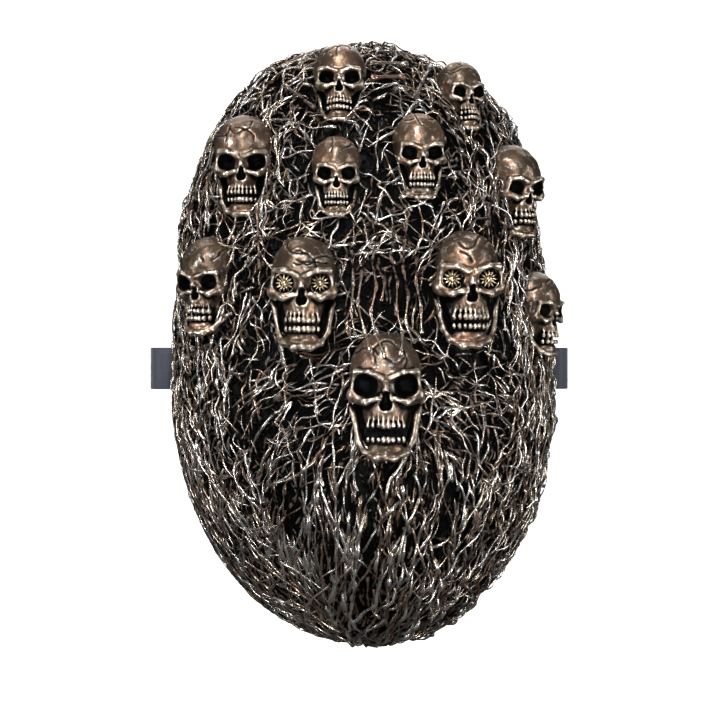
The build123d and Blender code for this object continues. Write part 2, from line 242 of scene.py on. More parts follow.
def mix(tree, factor, a, b):
    """Colour b over colour a; each is a socket or a plain colour."""
    made = tree.nodes.new("ShaderNodeMix")
    made.data_type = "RGBA"
    for key, value, kind in (("Factor", factor, "VALUE"), ("A", a, "RGBA"), ("B", b, "RGBA")):
        socket = next(s for s in made.inputs if s.name == key and s.type == kind)
        if isinstance(value, bpy.types.NodeSocket):
            tree.links.new(value, socket)
        else:
            socket.default_value = (*value, 1) if isinstance(value, tuple) else value
    return next(s for s in made.outputs if s.type == "RGBA")


def maths(tree, operation, a, b=0.0, clamp=False):
    """One sum on sockets or plain numbers."""
    made = tree.nodes.new("ShaderNodeMath")
    made.operation = operation
    made.use_clamp = clamp
    for i, value in enumerate((a, b)):
        if isinstance(value, bpy.types.NodeSocket):
            tree.links.new(value, made.inputs[i])
        else:
            made.inputs[i].default_value = value
    return made.outputs[0]


def remap(tree, source, low, high, to_low=0.0, to_high=1.0):
    """A smooth step of a socket from one range to another."""
    made = add(tree, "ShaderNodeMapRange", {"Value": source})
    made.interpolation_type = "SMOOTHSTEP"
    for key, value in zip(("From Min", "From Max", "To Min", "To Max"), (low, high, to_low, to_high)):
        made.inputs[key].default_value = value
    return made.outputs["Result"]


def group(name, inputs, outputs, kind="ShaderNodeTree"):
    """An empty node group with named sockets; returns it with its input and output nodes."""
    tree = bpy.data.node_groups.new(name, kind)
    for label, (socket, default) in inputs.items():
        made = tree.interface.new_socket(label, in_out="INPUT", socket_type=socket)
        if default is not None:
            made.default_value = default
    for label, socket in outputs.items():
        tree.interface.new_socket(label, in_out="OUTPUT", socket_type=socket)
    return tree, tree.nodes.new("NodeGroupInput").outputs, tree.nodes.new("NodeGroupOutput").inputs


def place_group(tree, shared, links=None, **values):
    """A shared effect with this material's own values; returns its outputs."""
    made = tree.nodes.new("ShaderNodeGroup")
    made.node_tree = shared
    for key, value in values.items():
        made.inputs[key.replace("_", " ")].default_value = value
    for key, source in (links or {}).items():
        tree.links.new(source, made.inputs[key])
    return made.outputs


def new_material(name):
    material = bpy.data.materials.new(name)
    material.use_nodes = True
    tree = material.node_tree
    return material, tree, tree.nodes["Principled BSDF"]


def position(tree):
    return add(tree, "ShaderNodeTexCoord").outputs["Object"]


def attribute(tree, name):
    return add(tree, "ShaderNodeAttribute", attribute_name=name).outputs["Fac"]


def bump(tree, shader, height, strength, distance):
    made = add(tree, "ShaderNodeBump", {"Height": height}, Strength=strength, Distance=distance)
    tree.links.new(made.outputs["Normal"], shader.inputs["Normal"])


# ---- shared shader effects ----------------------------------------------------------------------
def rubbed_paint_group():
    """Metallic paint rubbed over black: a mask that is high on ridges and broken up by the brush."""
    tree, given, out = group(
        "rubbed_paint",
        {
            "Ridge": ("NodeSocketFloat", 0.5),
            "Cover": ("NodeSocketFloat", 0.45),
            "Softness": ("NodeSocketFloat", 0.25),
            "Patchiness": ("NodeSocketFloat", 0.3),
            "Brush Scale": ("NodeSocketFloat", 400.0),
        },
        {"Rubbed": "NodeSocketFloat", "Polished": "NodeSocketFloat", "Tint": "NodeSocketFloat"},
    )
    place = position(tree)
    brush = add(tree, "ShaderNodeTexNoise", {"Vector": place, "Scale": given["Brush Scale"]}, Detail=4.0)
    patch = add(tree, "ShaderNodeTexNoise", {"Vector": place}, Scale=55.0, Detail=2.0)
    wander = maths(tree, "SUBTRACT", brush.outputs["Fac"], 0.5)
    wander = maths(tree, "MULTIPLY", wander, given["Patchiness"])
    drift = maths(tree, "MULTIPLY", maths(tree, "SUBTRACT", patch.outputs["Fac"], 0.5), 0.35)
    level = maths(tree, "ADD", maths(tree, "ADD", given["Ridge"], wander), drift)
    edge = maths(tree, "SUBTRACT", level, given["Cover"])
    tree.links.new(maths(tree, "DIVIDE", edge, given["Softness"], clamp=True), out["Rubbed"])
    high = maths(tree, "ADD", given["Cover"], given["Softness"])
    shine = maths(tree, "DIVIDE", maths(tree, "SUBTRACT", level, high), given["Softness"], clamp=True)
    tree.links.new(shine, out["Polished"])
    tree.links.new(patch.outputs["Fac"], out["Tint"])
    return tree


def grain_group():
    """Fine pitting and brush grain, as a height and a speckle."""
    tree, given, out = group(
        "cast_grain",
        {"Scale": ("NodeSocketFloat", 900.0), "Pits": ("NodeSocketFloat", 0.5)},
        {"Height": "NodeSocketFloat", "Speckle": "NodeSocketFloat"},
    )
    place = position(tree)
    fine = add(tree, "ShaderNodeTexNoise", {"Vector": place, "Scale": given["Scale"]}, Detail=3.0)
    cells = add(tree, "ShaderNodeTexVoronoi", {"Vector": place, "Scale": given["Scale"]})
    pit = remap(tree, cells.outputs["Distance"], 0.0, 0.35)
    deep = maths(tree, "MULTIPLY", pit, given["Pits"])
    tree.links.new(maths(tree, "ADD", fine.outputs["Fac"], deep), out["Height"])
    tree.links.new(fine.outputs["Fac"], out["Speckle"])
    return tree


def weave_group():
    """Plain weave or ribbed elastic on a UV map measured in metres."""
    tree, given, out = group(
        "weave",
        {"Warp Pitch": ("NodeSocketFloat", 0.0008), "Weft Pitch": ("NodeSocketFloat", 0.0008)},
        {"Height": "NodeSocketFloat", "Shade": "NodeSocketFloat"},
    )
    place = add(tree, "ShaderNodeUVMap", uv_map="cloth").outputs["UV"]
    part = add(tree, "ShaderNodeSeparateXYZ", {"Vector": place}).outputs
    along = maths(tree, "DIVIDE", part["X"], given["Weft Pitch"])
    across = maths(tree, "DIVIDE", part["Y"], given["Warp Pitch"])
    ribs = maths(tree, "SINE", maths(tree, "MULTIPLY", across, 2 * math.pi))
    picks = maths(tree, "SINE", maths(tree, "MULTIPLY", along, 2 * math.pi))
    checks = maths(tree, "MULTIPLY", ribs, picks)
    height = maths(tree, "ADD", maths(tree, "MULTIPLY", ribs, 0.35), maths(tree, "MULTIPLY", checks, 0.25))
    tree.links.new(maths(tree, "ADD", height, 0.5), out["Height"])
    fuzz = add(tree, "ShaderNodeTexNoise", {"Vector": position(tree)}, Scale=1500.0, Detail=2.0)
    shade = maths(tree, "ADD", maths(tree, "MULTIPLY", checks, 0.2), fuzz.outputs["Fac"])
    tree.links.new(shade, out["Shade"])
    return tree


RUBBED = rubbed_paint_group()
GRAIN = grain_group()
WEAVE = weave_group()

# Finishes, darkest first; the pale ones are where a rag has taken the paint back to bright metal, and pale
# pewter on the skulls is also painted glare.
BLACK_LATEX = (0.0016, 0.0016, 0.0016)
DARK_BRONZE = (0.075, 0.053, 0.039)
BRONZE = (0.210, 0.146, 0.100)
COPPER = (0.250, 0.148, 0.098)
PEWTER = (0.270, 0.264, 0.262)
PALE_BRONZE = (0.66, 0.57, 0.46)
PALE_PEWTER = (0.74, 0.73, 0.72)
NAVY = (0.010, 0.013, 0.026)


def strand_material():
    """Black latex strands, rubbed over with bronze, copper and pewter where they stand out; the low relief
    stays near-black, as dry-brush paint and as painted shade down among the strands.
    """
    material, tree, shader = new_material("rubbed_strands")
    relief, tone = attribute(tree, "relief"), attribute(tree, "tone")
    paint = place_group(tree, RUBBED, {"Ridge": relief}, Cover=0.57, Softness=0.24, Patchiness=0.8)
    paints = [(0.0, DARK_BRONZE), (0.3, BRONZE), (0.5, PEWTER), (0.72, COPPER), (1.0, PEWTER)]
    bright = [(0.0, PALE_BRONZE), (0.45, PALE_PEWTER), (0.75, PALE_BRONZE), (1.0, PALE_PEWTER)]
    body, tips = ramp(tree, tone, paints), ramp(tree, tone, bright)
    # Low relief goes near-black: the dry-brush misses it, and it is painted shade between the strands.
    under = mix(tree, paint["Rubbed"], BLACK_LATEX, body)
    tree.links.new(mix(tree, paint["Polished"], under, tips), shader.inputs["Base Color"])
    tree.links.new(maths(tree, "MULTIPLY", paint["Rubbed"], 0.9), shader.inputs["Metallic"])
    tree.links.new(remap(tree, paint["Rubbed"], 0, 1, 0.42, 0.27), shader.inputs["Roughness"])
    shader.inputs["Specular IOR Level"].default_value = 0.04
    grain = place_group(tree, GRAIN, Scale=1100.0, Pits=0.4)
    bump(tree, shader, grain["Height"], 0.35, 0.15 * MM)
    return material


def skull_material():
    """Bronze-painted casting: painted shade blackens the hollows and sockets, bright where a rag took the
    ridges back, with pale pewter patches of painted glare and scuffs.
    """
    material, tree, shader = new_material("rubbed_bronze")
    shader.inputs["Specular IOR Level"].default_value = 0.1
    ridge, open_air = attribute(tree, "ridge"), attribute(tree, "open_air")
    # Painted shade: where the ambient occlusion is low the paint goes black, dull and unworn.
    dark = remap(tree, open_air, 0.38, 0.90)
    worn = maths(tree, "MULTIPLY", ridge, dark)
    paint = place_group(tree, RUBBED, {"Ridge": worn}, Cover=0.52, Softness=0.30, Patchiness=0.8)
    body = mix(tree, paint["Tint"], DARK_BRONZE, BRONZE)
    body = mix(tree, remap(tree, paint["Tint"], 0.5, 0.7), body, COPPER)
    place = position(tree)
    # Pale pewter patches from noise: painted glare on the skulls, also scuffs; the same noise dents the bump.
    glare_and_scuffs = add(tree, "ShaderNodeTexNoise", {"Vector": place}, Scale=260.0, Detail=5.0, Roughness=0.7)
    body = mix(tree, remap(tree, glare_and_scuffs.outputs["Fac"], 0.55, 0.72), body, PALE_PEWTER)
    under = mix(tree, dark, BLACK_LATEX, body)
    lit = mix(tree, paint["Rubbed"], under, PALE_BRONZE)
    lit = mix(tree, paint["Polished"], lit, PALE_PEWTER)
    tree.links.new(lit, shader.inputs["Base Color"])
    shine = maths(tree, "MULTIPLY", dark, 0.8)
    tree.links.new(maths(tree, "MAXIMUM", shine, paint["Rubbed"]), shader.inputs["Metallic"])
    tree.links.new(remap(tree, dark, 0, 1, 0.6, 0.34), shader.inputs["Roughness"])
    grain = place_group(tree, GRAIN, Scale=700.0, Pits=0.5)
    dents = maths(tree, "ADD", grain["Height"], maths(tree, "MULTIPLY", glare_and_scuffs.outputs["Fac"], 1.5))
    bump(tree, shader, dents, 0.45, 0.25 * MM)
    return material


def latex_material():
    """The shell: dark moulded latex with a skin of its own and a few thin places."""
    material, tree, shader = new_material("black_latex")
    shader.inputs["Specular IOR Level"].default_value = 0.3
    place = position(tree)
    cloud = add(tree, "ShaderNodeTexNoise", {"Vector": place}, Scale=45.0, Detail=5.0)
    colour = ramp(tree, cloud.outputs["Fac"], [(0.3, (0.012, 0.011, 0.011)), (0.7, (0.034, 0.030, 0.028))])
    tree.links.new(colour, shader.inputs["Base Color"])
    tree.links.new(remap(tree, cloud.outputs["Fac"], 0.3, 0.7, 0.48, 0.72), shader.inputs["Roughness"])
    ripple = add(tree, "ShaderNodeTexNoise", {"Vector": place}, Scale=160.0, Detail=4.0)
    grain = place_group(tree, GRAIN, Scale=1300.0, Pits=0.6)
    height = maths(tree, "ADD", maths(tree, "MULTIPLY", ripple.outputs["Fac"], 1.6), grain["Height"])
    bump(tree, shader, height, 0.4, 0.25 * MM)
    return material


def bright_metal_material():
    """The grilles: thin brass, worn bright in places."""
    material, tree, shader = new_material("worn_brass")
    wear = add(tree, "ShaderNodeTexNoise", {"Vector": position(tree)}, Scale=700.0, Detail=4.0)
    colour = ramp(tree, wear.outputs["Fac"], [(0.3, (0.42, 0.29, 0.15)), (0.65, (0.93, 0.80, 0.58))])
    tree.links.new(colour, shader.inputs["Base Color"])
    tree.links.new(remap(tree, wear.outputs["Fac"], 0.3, 0.7, 0.42, 0.22), shader.inputs["Roughness"])
    shader.inputs["Metallic"].default_value = 1.0
    bump(tree, shader, wear.outputs["Fac"], 0.2, 0.05 * MM)
    return material


def black_steel_material():
    """The rivets: blackened steel, bare where the cap's edge has worn."""
    material, tree, shader = new_material("blackened_steel")
    paint = place_group(tree, RUBBED, {"Ridge": attribute(tree, "edge")}, Cover=0.55, Softness=0.2)
    colour = mix(tree, paint["Rubbed"], (0.035, 0.035, 0.038), (0.45, 0.44, 0.42))
    tree.links.new(colour, shader.inputs["Base Color"])
    turned = add(tree, "ShaderNodeTexNoise", {"Vector": position(tree)}, Scale=900.0, Detail=3.0)
    tree.links.new(remap(tree, turned.outputs["Fac"], 0.3, 0.7, 0.25, 0.42), shader.inputs["Roughness"])
    shader.inputs["Metallic"].default_value = 1.0
    bump(tree, shader, turned.outputs["Fac"], 0.15, 0.05 * MM)
    return material


def plastic_material():
    """The slider and the sewing thread: black, with a faint moulded grain."""
    material, tree, shader = new_material("moulded_black_plastic")
    grain = place_group(tree, GRAIN, Scale=2200.0, Pits=0.7)
    tree.links.new(ramp(tree, grain["Speckle"], [(0.3, 0.008), (0.7, 0.017)]), shader.inputs["Base Color"])
    tree.links.new(remap(tree, grain["Speckle"], 0.3, 0.7, 0.38, 0.52), shader.inputs["Roughness"])
    bump(tree, shader, grain["Height"], 0.25, 0.06 * MM)
    return material


def cloth_material(name, dark, light, warp, weft, roughness, depth):
    """Woven stuff on the cloth UV map, in the two shades given."""
    material, tree, shader = new_material(name)
    weave = place_group(tree, WEAVE, Warp_Pitch=warp, Weft_Pitch=weft)
    tree.links.new(ramp(tree, weave["Shade"], [(0.3, dark), (0.75, light)]), shader.inputs["Base Color"])
    rough = remap(tree, weave["Height"], 0, 1, roughness + 0.08, roughness - 0.06)
    tree.links.new(rough, shader.inputs["Roughness"])
    shader.inputs["Sheen Weight"].default_value = 0.3
    shader.inputs["Sheen Roughness"].default_value = 0.5
    bump(tree, shader, weave["Height"], 0.5, depth)
    return material


def foam_material():
    """Thin knit over foam: a fine stockinette on Object coordinates, with dust in it."""
    material, tree, shader = new_material("knit_over_foam")
    place = position(tree)
    knit = add(tree, "ShaderNodeTexVoronoi", {"Vector": place}, Scale=1400.0, Randomness=0.35)
    dust = add(tree, "ShaderNodeTexNoise", {"Vector": place}, Scale=60.0, Detail=4.0)
    colour = ramp(tree, dust.outputs["Fac"], [(0.3, (0.022, 0.022, 0.024)), (0.8, (0.060, 0.058, 0.060))])
    tree.links.new(colour, shader.inputs["Base Color"])
    tree.links.new(remap(tree, dust.outputs["Fac"], 0.3, 0.8, 0.82, 0.95), shader.inputs["Roughness"])
    shader.inputs["Sheen Weight"].default_value = 0.25
    bump(tree, shader, knit.outputs["Distance"], 0.6, 0.2 * MM)
    return material


def shade_netting_material():
    """Near-black net: a dark sheet of painted shade where the inside of the mask would be in shadow, seen as
    a fine square mesh.
    """
    material, tree, shader = new_material("black_netting")
    shader.inputs["Specular IOR Level"].default_value = 0.03
    part = add(tree, "ShaderNodeSeparateXYZ", {"Vector": position(tree)}).outputs
    turns = 2 * math.pi / (0.6 * MM)
    threads = [maths(tree, "SINE", maths(tree, "MULTIPLY", part[axis], turns)) for axis in "XZ"]
    net = maths(tree, "MAXIMUM", *threads)
    tree.links.new(ramp(tree, net, [(0.2, 0.0015), (0.9, 0.012)]), shader.inputs["Base Color"])
    tree.links.new(remap(tree, net, 0.2, 0.9, 0.95, 0.75), shader.inputs["Roughness"])
    bump(tree, shader, net, 0.5, 0.1 * MM)
    return material


# ---- geometry node trees ------------------------------------------------------------------------
def finish_tree(tree, geometry, material, out):
    """Every tree ends with real geometry in its material."""
    real = add(tree, "GeometryNodeRealizeInstances", {"Geometry": geometry})
    smooth = add(tree, "GeometryNodeSetShadeSmooth", {"Geometry": real.outputs[0]})
    painted = add(tree, "GeometryNodeSetMaterial", {"Geometry": smooth.outputs[0], "Material": material})
    tree.links.new(painted.outputs[0], out["Geometry"])


def profile_curve(tree, along, points):
    """Thickness along a strand, as a curve through the given (share, thickness) points."""
    curve = tree.nodes.new("ShaderNodeFloatCurve")
    tree.links.new(along, curve.inputs["Value"])
    profile = curve.mapping.curves[0]
    while len(profile.points) < len(points):
        profile.points.new(0.5, 0.5)
    for point, (x, y) in zip(profile.points, points):
        point.location = (x, y / 2)
    curve.mapping.update()
    return maths(tree, "MULTIPLY", curve.outputs[0], 2.0)


TAPERED = [(0, 0.25), (0.12, 1.0), (0.7, 0.85), (1, 0.15)]
KNOBBED = [(0, 1.15), (0.10, 1.35), (0.2, 0.85), (0.8, 0.85), (0.92, 1.5), (1, 1.2)]


def strand_tree():
    """Skins guide lines: each becomes a knotty strand with tapered or knobbed ends."""
    tree, given, out = group(
        "strand_skin",
        {
            "Geometry": ("NodeSocketGeometry", None),
            "Sides": ("NodeSocketInt", 6),
            "Spacing": ("NodeSocketFloat", 2 * MM),
            "Knots": ("NodeSocketFloat", 0.35),
            "Knot Scale": ("NodeSocketFloat", 220.0),
            "Material": ("NodeSocketMaterial", None),
        },
        {"Geometry": "NodeSocketGeometry"},
        "GeometryNodeTree",
    )
    line = add(tree, "GeometryNodeMeshToCurve", {"Mesh": given["Geometry"]})
    smooth = add(tree, "GeometryNodeCurveSplineType", {"Curve": line.outputs[0]}, spline_type="CATMULL_ROM")
    spaced = {"Curve": smooth.outputs[0], "Length": given["Spacing"]}
    even = add(tree, "GeometryNodeResampleCurve", spaced, mode="LENGTH")
    along = add(tree, "GeometryNodeSplineParameter").outputs["Factor"]
    thick = add(tree, "GeometryNodeInputNamedAttribute", Name="thick").outputs[0]
    knob = add(tree, "GeometryNodeInputNamedAttribute", Name="knob").outputs[0]
    tapered, knobbed = profile_curve(tree, along, TAPERED), profile_curve(tree, along, KNOBBED)
    blend = maths(tree, "MULTIPLY", maths(tree, "SUBTRACT", knobbed, tapered), knob)
    shape = maths(tree, "ADD", tapered, blend)
    spot = add(tree, "GeometryNodeInputPosition").outputs[0]
    noise = add(tree, "ShaderNodeTexNoise", {"Vector": spot, "Scale": given["Knot Scale"]}, Detail=1.0)
    knot = maths(tree, "MULTIPLY", maths(tree, "SUBTRACT", noise.outputs["Fac"], 0.45), given["Knots"])
    knot = maths(tree, "ADD", maths(tree, "MULTIPLY", knot, 3.0), 1.0)
    radius = maths(tree, "MULTIPLY", maths(tree, "MULTIPLY", thick, shape), knot)
    ring = add(tree, "GeometryNodeCurvePrimitiveCircle", {"Resolution": given["Sides"]}, Radius=1.0)
    swept = {"Curve": even.outputs[0], "Profile Curve": ring.outputs[0], "Scale": radius}
    skin = add(tree, "GeometryNodeCurveToMesh", swept, Fill_Caps=True)
    finish_tree(tree, skin.outputs[0], given["Material"], out)
    return tree


def copies_tree():
    """Sets a copy of one shape on every guide point, turned to the point's own two directions."""
    tree, given, out = group(
        "set_out_copies",
        {
            "Geometry": ("NodeSocketGeometry", None),
            "Shape": ("NodeSocketObject", None),
            "Size": ("NodeSocketFloat", 1.0),
            "Material": ("NodeSocketMaterial", None),
        },
        {"Geometry": "NodeSocketGeometry"},
        "GeometryNodeTree",
    )
    shape = add(tree, "GeometryNodeObjectInfo", {"Object": given["Shape"]}, As_Instance=True)
    ways = []
    for name in ("up", "along"):
        way = tree.nodes.new("GeometryNodeInputNamedAttribute")
        way.data_type = "FLOAT_VECTOR"
        way.inputs["Name"].default_value = name
        ways.append(way.outputs[0])
    turn = add(tree, "FunctionNodeAxesToRotation", {"Primary Axis": ways[0], "Secondary Axis": ways[1]})
    turn.primary_axis, turn.secondary_axis = "Z", "X"
    links = {"Points": given["Geometry"], "Instance": shape.outputs["Geometry"], "Rotation": turn.outputs[0]}
    placed = add(tree, "GeometryNodeInstanceOnPoints", {**links, "Scale": given["Size"]})
    finish_tree(tree, placed.outputs[0], given["Material"], out)
    return tree


def flower_tree():
    """A sun-shaped grille: petals round a domed hub, inside a thin rim. It faces +Z."""
    tree, given, out = group(
        "flower_grille",
        {
            "Geometry": ("NodeSocketGeometry", None),
            "Petals": ("NodeSocketInt", 12),
            "Hub Radius": ("NodeSocketFloat", 1.5 * MM),
            "Petal Ring Radius": ("NodeSocketFloat", 3 * MM),
            "Petal Size": ("NodeSocketVector", (1.3 * MM, 0.5 * MM, 0.5 * MM)),
            "Rim Radius": ("NodeSocketFloat", 4.8 * MM),
            "Rim Thickness": ("NodeSocketFloat", 0.35 * MM),
            "Material": ("NodeSocketMaterial", None),
        },
        {"Geometry": "NodeSocketGeometry"},
        "GeometryNodeTree",
    )
    hub = add(tree, "GeometryNodeMeshUVSphere", Segments=20, Rings=12, Radius=1.0)
    size = add(tree, "ShaderNodeCombineXYZ", {"X": given["Hub Radius"], "Y": given["Hub Radius"]}, Z=0.8 * MM)
    hub = add(tree, "GeometryNodeTransform", {"Geometry": hub.outputs[0], "Scale": size.outputs[0]})
    petal = add(tree, "GeometryNodeMeshUVSphere", Segments=12, Rings=8, Radius=1.0)
    petal = add(tree, "GeometryNodeTransform", {"Geometry": petal.outputs[0], "Scale": given["Petal Size"]})
    ring = {"Vertices": given["Petals"], "Radius": given["Petal Ring Radius"]}
    ring = add(tree, "GeometryNodeMeshCircle", ring)
    spot = add(tree, "GeometryNodeInputPosition").outputs[0]
    turn = add(tree, "FunctionNodeAlignRotationToVector", {"Vector": spot}, axis="X")
    links = {"Points": ring.outputs[0], "Instance": petal.outputs[0], "Rotation": turn.outputs[0]}
    petals = add(tree, "GeometryNodeInstanceOnPoints", links)
    rim = add(tree, "GeometryNodeCurvePrimitiveCircle", {"Radius": given["Rim Radius"]}, Resolution=40)
    section = add(tree, "GeometryNodeCurvePrimitiveCircle", {"Radius": given["Rim Thickness"]}, Resolution=8)
    rim = add(tree, "GeometryNodeCurveToMesh", {"Curve": rim.outputs[0], "Profile Curve": section.outputs[0]})
    joined = tree.nodes.new("GeometryNodeJoinGeometry")
    for part in (hub, petals, rim):
        tree.links.new(part.outputs[0], joined.inputs[0])
    finish_tree(tree, joined.outputs[0], given["Material"], out)
    return tree


def grown(name, guide, tree, **inputs):
    """Runs a geometry node tree on a guide mesh and keeps the result as a plain mesh."""
    holder = new_object(name + "_guide", guide)
    modifier = holder.modifiers.new("grow", "NODES")
    modifier.node_group = tree
    for item in tree.interface.items_tree:
        key = item.name.replace(" ", "_")
        if item.in_out == "INPUT" and key in inputs:
            modifier[item.identifier] = inputs[key]
    mesh = applied(holder)
    mesh.name = name
    bpy.data.objects.remove(holder)
    return mesh


# ---- skulls -------------------------------------------------------------------------------------
def ball(x, y, z, rx, ry, rz):
    """Distance to an ellipsoid round the origin of the given coordinates."""
    k0 = np.sqrt((x / rx) ** 2 + (y / ry) ** 2 + (z / rz) ** 2) + 1e-6
    k1 = np.sqrt((x / rx**2) ** 2 + (y / ry**2) ** 2 + (z / rz**2) ** 2) + 1e-6
    return k0 * (k0 - 1) / k1


def bar(x, y, z, start, end, radius):
    """Distance to a round-ended bar."""
    (ax, ay, az), (bx, by, bz) = start, end
    dx, dy, dz = bx - ax, by - ay, bz - az
    t = ((x - ax) * dx + (y - ay) * dy + (z - az) * dz) / (dx * dx + dy * dy + dz * dz)
    t = np.clip(t, 0, 1)
    return np.sqrt((x - ax - t * dx) ** 2 + (y - ay - t * dy) ** 2 + (z - az - t * dz) ** 2) - radius


def join(a, b, k):
    """a and b run together, with a fillet about k wide."""
    h = np.clip(k - np.abs(a - b), 0, None) / k
    return np.minimum(a, b) - h * h * k / 4


def carve(a, b, k):
    """a with b taken out of it."""
    h = np.clip(k - np.abs(a + b), 0, None) / k
    return np.maximum(a, -b) + h * h * k / 4


TOOTH_PITCH, ROOT_PITCH, FIRST_TOOTH = 0.039, 0.037, 0.020


def set_back(x):
    """How far the jaw's curve takes a tooth back at x."""
    return 0.085 * (x / 0.13) ** 2


def teeth(d, ax, y, z, middle, height, reach):
    """A row of teeth round the front of a jaw."""
    for i in range(4):
        x = FIRST_TOOTH + TOOTH_PITCH * i
        tooth = ball(ax - x, y + reach - set_back(x), z - middle, 0.0205, 0.026, height)
        d = join(d, tooth, 0.014)
    return d


def cranium(x, y, z, small):
    """The skull's round back and crown; the small skulls have a bigger one."""
    if small:
        return ball(x, y - 0.03, z - 0.155, 0.302, 0.345, 0.335)
    return ball(x, y - 0.04, z - 0.20, 0.278, 0.34, 0.30)


# Round bars of bone: start, end, radius and fillet, for x from the middle plane outwards.
FACE_BARS = [
    ((0.235, -0.235, 0.19), (0.255, -0.195, 0.03), 0.026, 0.03),     # outer wall of the socket
    ((0.255, -0.195, 0.03), (0.165, -0.27, -0.035), 0.034, 0.03),    # cheekbone
    ((0.165, -0.27, -0.035), (0.07, -0.285, -0.01), 0.024, 0.02),    # its inner end
    ((0.255, -0.18, 0.0), (0.262, 0.02, 0.03), 0.036, 0.06),         # arch back to the ear
    ((0, -0.275, 0.15), (0, -0.315, 0.05), 0.028, 0.03),             # bridge of the nose
    ((0.03, -0.305, 0.150), (0.14, -0.305, 0.190), 0.030, 0.025),    # brow, inner half
    ((0.14, -0.305, 0.190), (0.235, -0.24, 0.198), 0.028, 0.025),    # brow, outer half
]
JAW_BARS = [
    ((0.258, -0.04, -0.08), (0.212, -0.12, -0.33), 0.024, 0.02),     # branch down from the ear
    ((0.212, -0.12, -0.33), (0.160, -0.185, -0.425), 0.026, 0.03),   # corner
    ((0.160, -0.185, -0.425), (0.070, -0.255, -0.468), 0.028, 0.03),
    ((0.070, -0.255, -0.468), (0.0, -0.265, -0.462), 0.030, 0.03),   # chin
]


def add_bars(d, ax, y, z, bars):
    for start, end, radius, fillet in bars:
        d = join(d, bar(ax, y, z, start, end, radius), fillet)
    return d


def add_face(d, ax, x, y, z):
    """Forehead, temples, socket backs, midface and muzzle, and then the bars of the face."""
    d = join(d, ball(x, y + 0.13, z - 0.14, 0.225, 0.15, 0.13), 0.06)
    d = carve(d, ball(ax - 0.335, y + 0.13, z - 0.12, 0.070, 0.16, 0.12), 0.05)
    d = join(d, ball(ax - 0.190, y + 0.13, z - 0.06, 0.078, 0.14, 0.12), 0.03)
    d = join(d, ball(x, y - 0.05, z + 0.12, 0.20, 0.17, 0.26), 0.02)
    d = join(d, ball(x, y + 0.16, z + 0.11, 0.135, 0.145, 0.15), 0.04)
    return add_bars(d, ax, y, z, FACE_BARS)


def jaw(d, ax, x, y, z, gap):
    """The lower jaw, dropped by the gap, the roots over the upper teeth, and both rows of teeth."""
    d = add_bars(d, ax, y, z, JAW_BARS)
    d = join(d, ball(x, y + 0.17, z + 0.385 + gap / 3, 0.135, 0.105, 0.075), 0.03)
    for i in range(4):
        root = FIRST_TOOTH + ROOT_PITCH * i
        low, high = (root, set_back(root) - 0.305, -0.18), (root * 0.9, set_back(root) - 0.275, -0.10)
        d = join(d, bar(ax, y, z, low, high, 0.013), 0.014)
    d = teeth(d, ax, y, z, -0.226 + gap / 4, 0.032, 0.312)
    return teeth(d, ax, y, z, -0.306 - gap / 2, 0.030, 0.298)


def face_openings(d, ax, x, y, z, gap):
    """Takes out the eye sockets, the nose and the slit between the teeth; also gives the painted shade that
    blackens the sockets and the nose.
    """
    tilt, power = math.radians(13), 2.6
    u = (ax - SOCKET_X) * math.cos(tilt) + (z - SOCKET_Z) * math.sin(tilt)
    v = (z - SOCKET_Z) * math.cos(tilt) - (ax - SOCKET_X) * math.sin(tilt)
    socket = (np.abs(u) / 0.090) ** power + (np.abs(v) / 0.082) ** power + (np.abs(y + 0.30) / 0.17) ** power
    eye = (socket ** (1 / power) - 1) * 0.082
    d = carve(d, eye, 0.018)
    d = join(d, ball(x, y + 0.27, z + 0.03, 0.062, 0.045, 0.085), 0.015)
    nose = ball(ax - 0.014, y + 0.33, z + 0.060, 0.036, 0.14, 0.045)
    nose = np.minimum(nose, ball(x, y + 0.33, z + 0.015, 0.029, 0.13, 0.065))
    d = carve(d, nose, 0.008)
    slit = np.maximum(np.abs(z + 0.266 + gap / 8) - 0.006 - gap / 2, np.maximum(ax - 0.135, y + 0.14))
    # Painted shade: the sockets and the nose go black where they run back behind the face.
    dark = smoothstep(0.012, 0.0, np.minimum(eye, nose)) * smoothstep(-0.285, -0.235, y)
    return carve(d, slit, 0.012), dark


def cracks(rng, x, y, z):
    """Wandering cracks over the forehead and crown: 1 in a crack, 0 away from it."""
    front = smoothstep(0.05, -0.1, y) * smoothstep(0.2, 0.24, z)
    crack = 0
    for _ in range(4):
        here = np.array([rng.uniform(-0.18, 0.18), rng.uniform(0.24, 0.46)])
        way = rng.uniform(0, 2 * math.pi)
        deep = np.full_like(x, 1.0)
        for _ in range(7):
            step = np.array([math.cos(way), math.sin(way)]) * rng.uniform(0.03, 0.06)
            span = (x - here[0]) * step[0] + (z - here[1]) * step[1]
            t = np.clip(span / (step @ step), 0, 1)
            near = np.hypot(x - here[0] - t * step[0], z - here[1] - t * step[1])
            deep = np.minimum(deep, near)
            here, way = here + step, way + rng.uniform(-0.9, 0.9)
        crack = np.maximum(crack, np.exp(-((deep / 0.0070) ** 2)) * front)
    return crack


def pocket_slot(d, ax, y, z, half_length, height, radius):
    """Takes a round-ended slot out of the skull's back, where a pocket of the shell runs in."""
    slot = np.hypot(np.clip(ax - half_length, 0, None), z - height) - radius
    return np.maximum(d, -np.maximum(slot, -(y + 0.15)))


